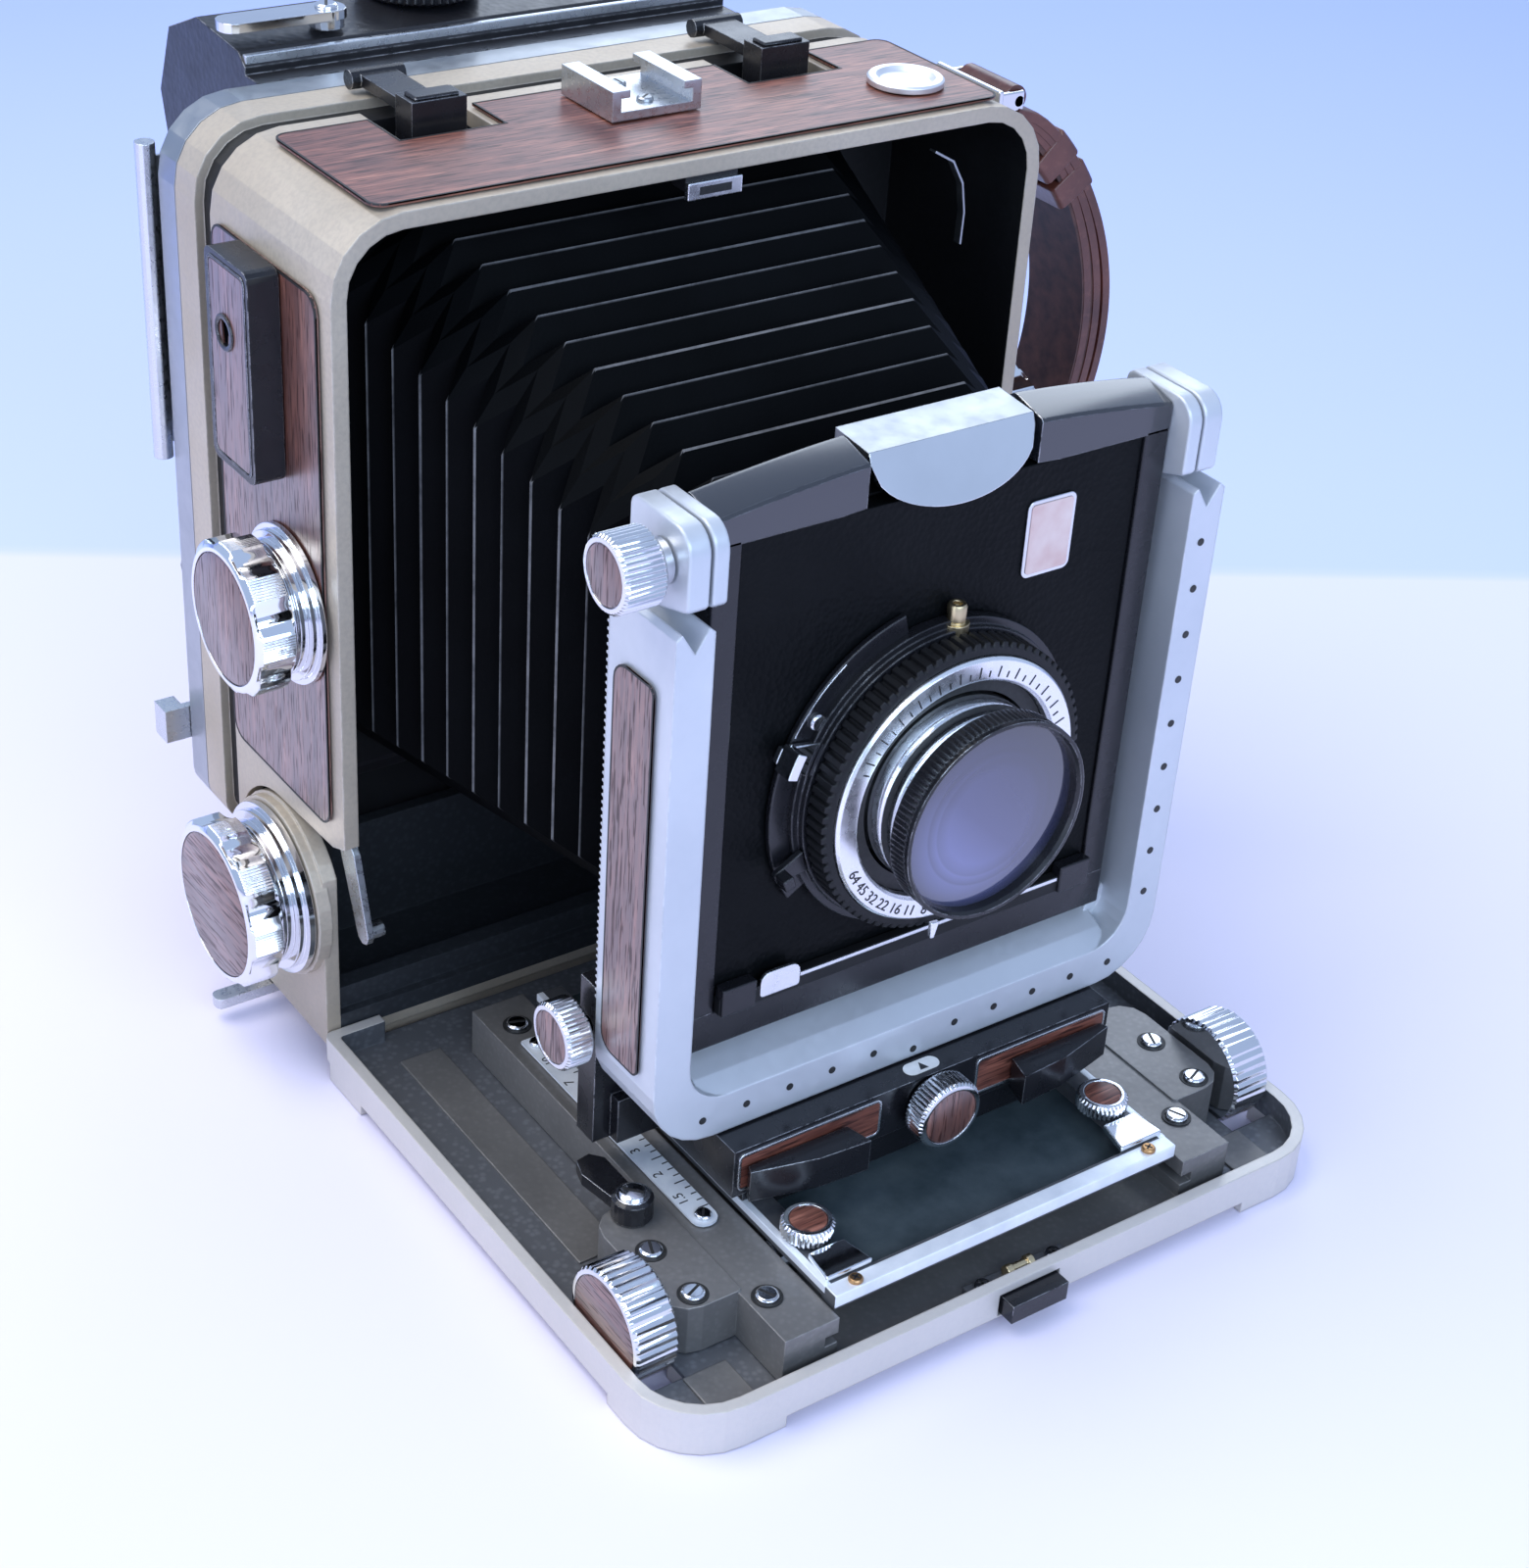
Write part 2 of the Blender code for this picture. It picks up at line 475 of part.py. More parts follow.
def make_u_frame(look):
    inner = U_HALF - LEG
    notch = [(inner + 1.2, LEG_TOP), (inner + LEG / 2, LEG_TOP - 4.5), (U_HALF - 1.2, LEG_TOP)]
    outside = arc((U_HALF - 14, U_BOTTOM + 14), 14, -90, 0, 6)
    inside = arc((inner - 9, U_BOTTOM + 18), 9, 0, -90, 6)
    right = outside + [(U_HALF, LEG_TOP - 1.0)] + notch[::-1] + [(inner, LEG_TOP - 1.0)] + inside
    outline = right + [(-x, z) for x, z in right[::-1]]
    ramp = [(U_FRONT, U_BOTTOM + 8.5), (U_FRONT, U_BOTTOM + 9), (U_FRONT + 4, U_BOTTOM + 11.6),
            (U_FRONT + 10, U_BOTTOM + 14.2), (U_REAR, U_BOTTOM + 14.2), (U_REAR, U_BOTTOM + 8.5)]
    bevel = prism("X", ramp, -inner + 3.5, inner - 3.5)
    flare = [(inner - 4.6, U_BOTTOM + 8.5), (inner + 1, U_BOTTOM + 8.5), (inner + 1, U_BOTTOM + 16),
             (inner - 0.5, U_BOTTOM + 19), (inner - 2.0, U_BOTTOM + 15.5), (inner - 4.6, U_BOTTOM + 14.2)]
    fillets = both_sides(prism("Y", flare, U_FRONT + 8, U_REAR))
    node("u_frame", [prism("Y", outline, U_FRONT, U_REAR)], look["satin"], add=[bevel, *fillets])
    inlay = rounded((U_FRONT + 5, 52), (U_REAR - 3, 137), (2, 4, 4, 2), 3)
    for label, side in SIDES.items():
        face = side * (U_HALF + GAP)
        node("leg_inlay_" + label, [prism("X", inlay, face, face + side * 0.4)], look["wood"])


def make_lens_frame(look):
    bottom, top, arch, radius = 52.2, 168.0, 172.0, 331.0
    half = LENS_HALF
    crown = arc((0, arch - radius), radius, 90 - 8.93, 90 + 8.93, 12)
    outline = [(-half, bottom), (half, bottom), *crown]
    frame = prism("Y", outline, LENS_FRAME_FRONT, LENS_FRAME_REAR)
    opening = block((-46, 46), (LENS_FRAME_FRONT - 1, -115), (BOARD_BOTTOM - 0.5, BOARD_TOP + 0.5))
    throat = block((-40, 40), (LENS_FRAME_FRONT - 1, LENS_FRAME_REAR + 1), (64, 141))
    seat = block((-19.2, 19.2), (LENS_FRAME_FRONT - 1, -112), (155, 190))
    sill = block((-19.2, 19.2), (-113, LENS_FRAME_REAR + 1), (167.5, 190))
    cheek = arc((LENS_TILT_Y, LENS_TILT_Z), 9.1, -105, -75, 4)
    cheek += [(-106.5, LENS_TILT_Z - 7.0), (-106.5, 166.5), (-107.8, 167.8), (-121.0, 167.8),
              (-124.2, 166.5), (-125.5, 163.3), (-125.5, LENS_TILT_Z - 6.7)]
    arms = both_sides(prism("X", cheek, 51, 60))
    node("lens_frame", [frame], look["black"], cut=[opening, throat, seat, sill], add=arms,
         origin=(0, LENS_TILT_Y, LENS_TILT_Z))
    profile = [(0, 0), (0, 4), (2.8, 4), (3.0, 6.8), (10.6, 7.2), (11.6, 6.6), (11.6, 0)]
    outwards = [(-60 - GAP - along, radius) for along, radius in profile]
    node("lens_tilt_knob", [turned("X", (LENS_TILT_Y - 2, LENS_TILT_Z + 0.5), outwards, 24)], look["chrome"],
         origin=(-60 - GAP, LENS_TILT_Y - 2, LENS_TILT_Z + 0.5))
    board = block((-45.5, 45.5), (BOARD_FRONT, -115.5), (BOARD_BOTTOM, BOARD_TOP))
    hole = rod("Y", (0, LENS_Z), 17, BOARD_FRONT - 1, -114)
    node("lens_board", [board], look["crinkle"], cut=[hole])
    bent = [(-108.0, 171.2), (-118.2, 170.4), (-123.6, 159.6), (-122.6, 158.0), (-120.7, 158.0),
            (-119.9, 161.5), (-115.0, 168.0), (-108.0, 168.6)]
    node("board_clip", [prism("X", bent, -18.6, 18.6)], look["chrome"])


def make_lens(look):
    centre = (0, LENS_Z)
    front = BOARD_FRONT - GAP
    case = turned("Y", centre, [(front, 20.0), (front, 32.5), (-124.0, 32.5), (-124.0, 28.2), (-130.6, 28.2),
                                (-130.6, 23.6), (-126.0, 23.6), (-126.0, 20.0)], 36, closed=True)
    node("shutter_case", [case], look["black"], add=[rod("Z", (4.0, -121.8), 1.9, LENS_Z + 31, LENS_Z + 38, 12)])
    ring = turned("Y", centre, [(-124.4, 28.6), (-124.4, 30.4), (-129.0, 30.4), (-129.6, 29.8), (-129.6, 28.6)],
                  36, closed=True)
    node("speed_ring", [ring], look["black"], origin=(0, -127, LENS_Z))
    levers = (("cocking_lever", 158, 41.5, -121.5), ("release_lever", 198, 38.0, -122.5))
    for name, angle, length, level in levers:
        near = arc(centre, 33.2, angle - 5, angle + 5, 2)
        far = arc(centre, length, angle + 3, angle - 3, 2)
        node(name, [prism("Y", near + far, level, level - 1.6)], look["chrome"], origin=(0, level, LENS_Z))
    pointer = arc(centre, 27.8, 262, 266, 1) + arc(centre, 32.0, 265.4, 262.6, 1)
    node("aperture_lever", [prism("Y", pointer, -131.0, -132.0)], look["white"], origin=(0, -131.5, LENS_Z))
    barrel = turned("Y", centre, [(-98.0, 14.6), (-98.0, 16.6), (-120.2, 16.6), (-120.2, 19.4), (-137.0, 19.4),
                                  (-137.0, 20.9), (-142.5, 20.9), (-142.5, 19.6), (-138.0, 18.6), (-134.5, 16.4)],
                    36, closed=True)
    node("lens_barrel", [barrel], look["chrome"])
    element = turned("Y", centre, [(-137.2, 0), (-136.6, 9), (-134.9, 15.9), (-133.2, 15.9), (-133.2, 0)], 24)
    node("front_glass", [element], look["glass"])


def make_bellows(look):
    """A tapered cloth tube between the shell's rear wall and the lens frame."""
    rear = rounded((-66, 54), (66, 187), (12, 12, 12, 12), 2)
    front = rounded((-44, 58.5), (44, 150), (8, 8, 8, 8), 2)
    wall = 2.0
    stations = ((BODY_REAR - 4 - GAP, rear), (LENS_FRAME_REAR + GAP, front))
    points = []
    for y, outline in stations:
        centre_z = sum(z for x, z in outline) / len(outline)
        points += [(x, y, z) for x, z in outline]
        for x, z in outline:
            reach = math.hypot(x, z - centre_z)
            points.append((x * (1 - wall / reach), y, centre_z + (z - centre_z) * (1 - wall / reach)))
    count = len(rear)
    faces = []
    for i in range(count):
        j = (i + 1) % count
        for low in (0, 2 * count):
            faces.append((low + i, low + j, low + count + j, low + count + i))
        for low in (0, count):
            faces.append((low + i, low + j, low + 2 * count + j, low + 2 * count + i))
    node("bellows", [(points, faces)], look["bellows"])


def main():
    for existing in list(bpy.data.objects):
        bpy.data.objects.remove(existing)
    look = make_materials()
    make_base(look)
    make_shell(look)
    make_body_trim(look)
    make_strap(look)
    make_back(look)
    make_latches(look)
    make_bed(look)
    make_focus_drive(look)
    make_track(look)
    make_beam(look)
    make_slide(look)
    make_u_frame(look)
    make_lens_frame(look)
    make_lens(look)
    make_bellows(look)


main()
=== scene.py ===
"""Looks for a folding metal view camera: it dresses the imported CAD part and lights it."""
import math

import bmesh
import bpy
from mathutils import Euler, Matrix, Vector


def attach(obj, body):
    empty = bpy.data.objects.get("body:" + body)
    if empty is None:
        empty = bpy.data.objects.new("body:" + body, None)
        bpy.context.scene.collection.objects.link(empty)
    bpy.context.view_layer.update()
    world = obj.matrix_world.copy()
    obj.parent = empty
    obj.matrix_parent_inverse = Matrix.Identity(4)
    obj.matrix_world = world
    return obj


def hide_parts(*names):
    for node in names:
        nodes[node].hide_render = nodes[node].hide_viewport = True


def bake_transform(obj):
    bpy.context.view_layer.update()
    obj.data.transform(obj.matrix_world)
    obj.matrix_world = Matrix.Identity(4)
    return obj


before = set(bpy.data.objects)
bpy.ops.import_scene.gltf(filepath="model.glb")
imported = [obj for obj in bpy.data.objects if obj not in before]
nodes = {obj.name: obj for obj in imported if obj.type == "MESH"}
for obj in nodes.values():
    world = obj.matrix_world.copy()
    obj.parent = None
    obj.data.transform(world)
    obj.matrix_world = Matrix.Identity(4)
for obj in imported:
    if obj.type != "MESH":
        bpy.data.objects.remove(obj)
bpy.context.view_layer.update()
scene = bpy.context.scene
MM = 0.001
SIDES = {"left": -1, "right": 1}
LENS_HEIGHT = 101.5
LENS = (0, LENS_HEIGHT)
BELLOWS_BACK, BELLOWS_FRONT = 4.0, -109.5

# the catalogue slot of each finish's pieces
SLOTS = {
    "black_enamel": "black gloss black_satin ink",
    "brown_leather": "leather leather_edge thread",
    "chrome": "chrome mirror silver bright steel nose disc bronze brass",
    "coated_glass": "glass",
    "hammered_grey": "hammered rail floor",
    "rosewood": "wood_X wood_Y wood_Z",
    "satin_silver": "cast",
    "scale_silver": "badge white",
}
slot_of = {finish: slot for slot, finishes in SLOTS.items() for finish in finishes.split()}


# ---- shapes, in millimetres in the row frame ----

def place(axis, u, v, along):
    return {"X": (along, u, v), "Y": (u, along, v), "Z": (u, v, along)}[axis]


def prism(axis, outline, start, end):
    count = len(outline)
    points = [place(axis, u, v, along) for along in (start, end) for u, v in outline]
    faces = [tuple(range(count)), tuple(range(count, 2 * count))]
    faces += [(i, (i + 1) % count, count + (i + 1) % count, count + i) for i in range(count)]
    return points, faces


def block(x_range, y_range, z_range):
    """A box; a range may run either way."""
    (x0, x1), (y0, y1) = x_range, y_range
    return prism("Z", [(x0, y0), (x1, y0), (x1, y1), (x0, y1)], *z_range)


def loft(sections, closed_ends=True):
    """Skin through outlines of equal length, each a list of 3-D points."""
    count = len(sections[0])
    points = [point for section in sections for point in section]
    faces = []
    for row in range(0, (len(sections) - 1) * count, count):
        for i in range(count):
            j = (i + 1) % count
            faces.append((row + i, row + j, row + count + j, row + count + i))
    if closed_ends:
        faces += [tuple(range(count)), tuple(range(len(points) - count, len(points)))]
    return points, faces


def band(axis, outer, inner, start, end):
    """A prism with a hole; both outlines have the same number of points."""
    rings = [(outer, start), (outer, end), (inner, end), (inner, start), (outer, start)]
    return loft([[place(axis, u, v, along) for u, v in outline] for outline, along in rings],
                closed_ends=False)


def turned(axis, centre, profile, steps=64, closed=False, ripple=None):
    """A profile of (along, radius) turned round an axis. ripple(angle, row) changes the radius."""
    points, rings, faces = [], [], []
    for row, (along, radius) in enumerate(profile):
        ring = []
        for step in range(1 if radius == 0 else steps):
            angle = 2 * math.pi * step / steps
            size = radius + (ripple(angle, row) if ripple else 0)
            ring.append(len(points))
            points.append(place(axis, centre[0] + size * math.cos(angle), centre[1] + size * math.sin(angle),
                                along))
        rings.append(ring)
    pairs = list(zip(rings, rings[1:]))
    if closed:
        pairs.append((rings[-1], rings[0]))
    for first, second in pairs:
        for step in range(steps):
            corners = [first[step % len(first)], first[(step + 1) % len(first)],
                       second[(step + 1) % len(second)], second[step % len(second)]]
            faces.append(tuple(dict.fromkeys(corners)))
    if not closed:
        faces += [tuple(ring) for ring in (rings[0], rings[-1]) if len(ring) > 1]
    return points, faces


def rod(axis, centre, radius, start, end, steps=32):
    return turned(axis, centre, [(start, radius), (end, radius)], steps)


def peg(axis, centre, radius, start, end, steps):
    """A rod whose ends are fans round a middle point."""
    return turned(axis, centre, [(start, 0), (start, radius), (end, radius), (end, 0)], steps)


def arc(centre, radius, first, last, steps):
    angles = [math.radians(first + (last - first) * i / steps) for i in range(steps + 1)]
    return [(centre[0] + radius * math.cos(a), centre[1] + radius * math.sin(a)) for a in angles]


def rounded(low, high, radii, steps=6):
    """A rectangle with rounded corners: radii for low-low, high-low, high-high, low-high."""
    if isinstance(radii, (int, float)):
        radii = (radii,) * 4
    (u0, v0), (u1, v1) = low, high
    corners = [(u0, v0, 1, 1, 180), (u1, v0, -1, 1, 270), (u1, v1, -1, -1, 0), (u0, v1, 1, -1, 90)]
    outline = []
    for (u, v, du, dv, first), radius in zip(corners, radii):
        outline += arc((u + du * radius, v + dv * radius), radius, first, first + 90, steps)
    return outline


def sweep(path, section):
    """A section of (across, out) carried along a path of 3-D points in a plane with normal Y."""
    sections = []
    for i, point in enumerate(path):
        before, after = path[max(i - 1, 0)], path[min(i + 1, len(path) - 1)]
        run = Vector(after) - Vector(before)
        out = Vector((run.z, 0, -run.x)).normalized()
        sections.append([tuple(Vector(point) + out * o + Vector((0, a, 0))) for a, o in section])
    return loft(sections)


def inset(outline, amount):
    """An outline moved inwards; it runs anticlockwise."""
    result = []
    for i in range(len(outline)):
        before, here, after = (Vector(outline[j % len(outline)]) for j in (i - 1, i, i + 1))
        first, second = (here - before).normalized(), (after - here).normalized()
        first, second = Vector((-first.y, first.x)), Vector((-second.y, second.x))
        miter = (first + second) / max(1 + first.dot(second), 0.4)
        result.append(tuple(here + miter * amount))
    return result


def both_sides(shape):
    points, faces = shape
    return [shape, ([(-x, y, z) for x, y, z in points], faces)]


def moved(shape, matrix):
    points, faces = shape
    return [tuple(matrix @ Vector(point)) for point in points], faces


# ---- pieces ----

def piece(name, shapes, finish, body, replaces=(), slot=None, bevel=0.0, angle=35):
    """One visible object made of shapes, riding on a body."""
    mesh = bpy.data.meshes.new(name)
    points, faces = [], []
    for shape_points, shape_faces in shapes:
        faces += [tuple(len(points) + i for i in face) for face in shape_faces]
        points += [tuple(c * MM for c in point) for point in shape_points]
    mesh.from_pydata(points, [], faces)
    made = bmesh.new()
    made.from_mesh(mesh)
    bmesh.ops.remove_doubles(made, verts=made.verts, dist=1e-7)
    bmesh.ops.recalc_face_normals(made, faces=made.faces)
    made.to_mesh(mesh)
    made.free()
    result = bpy.data.objects.new(name, mesh)
    scene.collection.objects.link(result)
    mesh.materials.append(look[finish])
    mesh.shade_smooth()
    mesh.set_sharp_from_angle(angle=math.radians(angle))
    if bevel:
        modifier = result.modifiers.new("Bevel", "BEVEL")
        modifier.width = bevel * MM
        modifier.segments = 2
        modifier.limit_method = "ANGLE"
        modifier.angle_limit = math.radians(angle)
        modifier.harden_normals = True
    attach(result, body)
    if replaces:
        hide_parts(*replaces)


def dress(finish, *names):
    """Gives CAD nodes their finish."""
    for name in names:
        for entry in nodes[name].material_slots:
            entry.material = look[finish]


def number(name, body, words, size, location, rotation):
    """Small black numbers, slightly raised, such as those of a scale."""
    curve = bpy.data.curves.new(name, "FONT")
    curve.body = words
    curve.size = size * MM
    curve.extrude = 0.05 * MM
    curve.align_x = curve.align_y = "CENTER"
    result = bpy.data.objects.new(name, curve)
    result.location = Vector(location) * MM
    result.rotation_euler = rotation
    scene.collection.objects.link(result)
    curve.materials.append(look["ink"])
    bpy.context.view_layer.update()
    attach(result, body)


# ---- materials ----

class Finish:
    """A Principled material with small helpers for its procedural nodes."""

    def __init__(self, name, colour, roughness, metallic=0.0, **sockets):
        self.material = bpy.data.materials.new(name)
        self.material.use_nodes = True
        self.tree = self.material.node_tree
        self.shader = self.tree.nodes["Principled BSDF"]
        self.set("Base Color", (*colour, 1.0))
        self.set("Roughness", roughness)
        self.set("Metallic", metallic)
        for socket, value in sockets.items():
            self.set(socket.replace("_", " "), value)
        self.coords = self.new("ShaderNodeTexCoord").outputs["Object"]
        self.normal = None

    def new(self, kind, inputs=None, **settings):
        """A node with its settings, and with its input sockets filled."""
        made = self.tree.nodes.new(kind)
        for key, value in settings.items():
            setattr(made, key, value)
        for socket, value in (inputs or {}).items():
            self.put(made.inputs[socket], value)
        return made

    def put(self, socket, value):
        if isinstance(value, bpy.types.NodeSocket):
            self.tree.links.new(value, socket)
        else:
            socket.default_value = value

    def set(self, socket, value):
        self.put(self.shader.inputs[socket], value)

    def stretch(self, scale):
        return self.new("ShaderNodeMapping", {"Vector": self.coords, "Scale": scale}).outputs["Vector"]

    def split(self):
        """The object coordinates as three sockets, in metres."""
        return self.new("ShaderNodeSeparateXYZ", {0: self.coords}).outputs

    def noise(self, scale, detail=3.0, roughness=0.55, distortion=0.0, vector=None):
        inputs = {"Vector": vector or self.coords, "Scale": scale, "Detail": detail, "Roughness": roughness,
                  "Distortion": distortion}
        return self.new("ShaderNodeTexNoise", inputs).outputs["Fac"]

    def cells(self, scale, smooth=0.0):
        inputs = {"Vector": self.coords, "Scale": scale}
        if smooth:
            inputs["Smoothness"] = smooth
        made = self.new("ShaderNodeTexVoronoi", inputs, feature="SMOOTH_F1" if smooth else "F1")
        return made.outputs["Distance"]

    def ramp(self, value, *stops):
        """Maps a value to numbers or colours at (position, value) stops."""
        made = self.new("ShaderNodeValToRGB", {"Fac": value})
        elements = made.color_ramp.elements
        while len(elements) < len(stops):
            elements.new(0.5)
        for element, (position, shade) in zip(elements, stops):
            element.position = position
            element.color = opaque(shade)
        return made.outputs["Color"]

    def vary(self, socket, scale, detail, low, high, top=0.7):
        """Lets a socket wander between low and high values with noise."""
        self.set(socket, self.ramp(self.noise(scale, detail), (0.3, low), (top, high)))

    def math(self, operation, first, second=0.0, clamp=False):
        made = self.new("ShaderNodeMath", {0: first, 1: second}, operation=operation, use_clamp=clamp)
        return made.outputs[0]

    def mix(self, amount, first, second):
        inputs = {"Factor": amount, 6: opaque(first), 7: opaque(second)}
        return self.new("ShaderNodeMix", inputs, data_type="RGBA").outputs[2]

    def inside(self, low, high):
        """1 inside a box given in millimetres, else 0."""
        result = None
        for part, first, last in zip(self.split(), low, high):
            offset = self.math("ABSOLUTE", self.math("SUBTRACT", part, (first + last) / 2 * MM))
            within = self.math("LESS_THAN", offset, (last - first) / 2 * MM)
            result = self.math("MULTIPLY", result, within) if result else within
        return result

    def inside_rounded(self, axis, half, limit, radius, low, high):
        """inside(), less the two corners that are rounded at the far end of an axis; X is symmetrical."""
        parts = self.split()
        across = self.math("SUBTRACT", self.math("ABSOLUTE", parts[0]), (half - radius) * MM)
        across = self.math("MAXIMUM", across, 0.0)
        along = self.math("MULTIPLY", parts[axis], 1 if limit > 0 else -1)
        along = self.math("MAXIMUM", self.math("SUBTRACT", along, (abs(limit) - radius) * MM), 0.0)
        near = self.math("LESS_THAN", self.square_sum(across, along), (radius * MM) ** 2)
        return self.math("MULTIPLY", near, self.inside(low, high))

    def square_sum(self, first, second):
        return self.math("ADD", self.math("MULTIPLY", first, first), self.math("MULTIPLY", second, second))

    def bump(self, height, strength, distance):
        inputs = {"Strength": strength, "Distance": distance * MM, "Height": height}
        if self.normal:
            inputs["Normal"] = self.normal
        self.normal = self.new("ShaderNodeBump", inputs).outputs["Normal"]
        self.set("Normal", self.normal)

    def bevelled(self, radius):
        return self.new("ShaderNodeBevel", {"Radius": radius * MM}, samples=4).outputs["Normal"]

    def soft_edges(self, radius):
        self.normal = self.bevelled(radius)
        self.set("Normal", self.normal)

    def edges(self, radius, low, high):
        """1 along edges, broken up by noise, for wear."""
        flat = self.new("ShaderNodeNewGeometry").outputs["Normal"]
        dot = self.new("ShaderNodeVectorMath", {0: self.bevelled(radius), 1: flat}, operation="DOT_PRODUCT")
        bend = self.math("SUBTRACT", 1.0, dot.outputs["Value"])
        grain = self.ramp(self.noise(300.0, 4.0, 0.7), (0.35, 0.0), (0.62, 1.0))
        return self.ramp(self.math("MULTIPLY", bend, grain), (low, 0.0), (high, 1.0))


def opaque(shade):
    """A colour or a grey as four numbers; a socket stays as it is."""
    if isinstance(shade, (int, float)):
        shade = (shade, shade, shade)
    return (*shade, 1.0) if isinstance(shade, tuple) else shade


def tinted(colour, factor):
    return tuple(c * factor for c in colour)


def wood(name, grain, sheen, depth):
    """Straight-grained rosewood: grain is its pores' axis, sheen its varnish, depth its colour's strength."""
    made = Finish(name, (0.25, 0.09, 0.06), 0.38, Coat_Roughness=0.36, Coat_IOR=1.5 + 0.4 * sheen)
    across, fine = [tuple(1 if axis == grain else tight for axis in "XYZ") for tight in (9, 16)]
    figure = made.noise(28.0, 3.0, 0.6, 1.2, made.stretch(across))
    streak = made.noise(75.0, 4.0, 0.65, 0.4, made.stretch(fine))
    pores = made.noise(130.0, 2.0, 0.5, 0.0, made.stretch(fine))
    dark = tinted((0.085, 0.026, 0.018), depth)
    middle, light = tinted((0.23, 0.080, 0.052), depth), tinted((0.38, 0.155, 0.105), depth)
    colour = made.ramp(figure, (0.30, dark), (0.52, middle), (0.72, light))
    colour = made.mix(made.ramp(streak, (0.42, 0.75), (0.6, 0.0)), colour, dark)
    colour = made.mix(made.ramp(pores, (0.56, 0.0), (0.63, 0.85)), colour, (0.03, 0.010, 0.008))
    made.set("Base Color", colour)
    made.set("Coat Weight", made.ramp(pores, (0.55, sheen), (0.62, sheen * 0.15)))
    made.bump(pores, 0.25, 0.05)
    return made.material


def paint(name, inner=(), inner_colour=(0.005, 0.005, 0.006), inner_metal=0.0, pale=0.0):
    """Champagne paint; inner lists the boxes in which another enamel covers the same casting."""
    light, dark = (0.55, 0.475, 0.375), (0.42, 0.35, 0.265)
    made = Finish(name, light, 0.42, 0.35)
    made.soft_edges(0.5)
    tone = made.mix(made.ramp(made.noise(18.0), (0.3, 0.0), (0.7, 1.0)), dark, light)
    tone = made.mix(made.ramp(made.noise(900.0, 2.0), (0.35, 0.3), (0.6, 0.0)), tone, (0.36, 0.31, 0.26))
    # painted light: pale blends a paler grey into the champagne; the bed's copy uses it, as the bed's faces
    # look lighter in the light
    if pale:
        tone = made.mix(pale, tone, (0.70, 0.68, 0.67))
    roughness = made.ramp(made.noise(60.0), (0.3, 0.36), (0.7, 0.52))
    tone = made.mix(made.edges(0.7, 0.06, 0.3), tone, (0.66, 0.6, 0.52))
    mask = None
    for entry in inner:
        box = made.inside_rounded(*entry) if len(entry) > 2 else made.inside(*entry)
        mask = made.math("MAXIMUM", mask, box) if mask else box
    if inner:
        specks = made.ramp(made.cells(620.0), (0.18, tinted(inner_colour, 1.35)), (0.5, inner_colour))
        tone = made.mix(mask, tone, specks)
        roughness = made.mix(mask, roughness, 0.48)
        made.set("Metallic", made.mix(mask, 0.35, inner_metal))
    made.set("Base Color", tone)
    made.set("Roughness", roughness)
    made.bump(made.noise(800.0, 2.0, 0.5), 0.5, 0.10)
    return made.material


def hammered(name, colour):
    made = Finish(name, colour, 0.42, 0.6)
    made.soft_edges(0.4)
    tone = made.ramp(made.cells(700.0), (0.12, tinted(colour, 1.15)), (0.5, colour))
    tone = made.mix(made.ramp(made.noise(35.0), (0.35, 0.0), (0.7, 0.6)), tone, tinted(colour, 0.58))
    tone = made.mix(made.edges(0.5, 0.06, 0.3), tone, (0.42, 0.40, 0.37))
    made.set("Base Color", tone)
    made.bump(made.cells(560.0, smooth=0.4), 0.5, 0.12)
    return made.material


def enamel(name, colour, roughness, softness, wear, bare, **sockets):
    """Black enamel rubbed through to a bare colour along its edges; gives the Finish and the worn mask."""
    made = Finish(name, colour, roughness, **sockets)
    made.soft_edges(softness)
    wear_and_highlight = made.edges(*wear)
    made.set("Base Color", made.mix(wear_and_highlight, colour, bare))
    return made, wear_and_highlight


def metal(name, colour, roughness, spread, noise_scale=200.0):
    made = Finish(name, colour, roughness, 1.0)
    made.soft_edges(0.3)
    streak = made.noise(noise_scale, 4.0, 0.6)
    low = max(roughness - spread, 0.02)
    made.set("Roughness", made.ramp(streak, (0.3, low), (0.7, roughness + spread)))
    smudge = made.ramp(made.noise(45.0, 4.0), (0.35, 0.0), (0.75, 0.5))
    made.set("Base Color", made.mix(smudge, colour, tinted(colour, 0.82)))
    made.bump(streak, 0.08, 0.03)
    return made.material


def speckled(name, colour, roughness, metallic, scale, detail, low, high):
    made = Finish(name, colour, roughness, metallic)
    made.vary("Base Color", scale, detail, low, high)
    return made.material


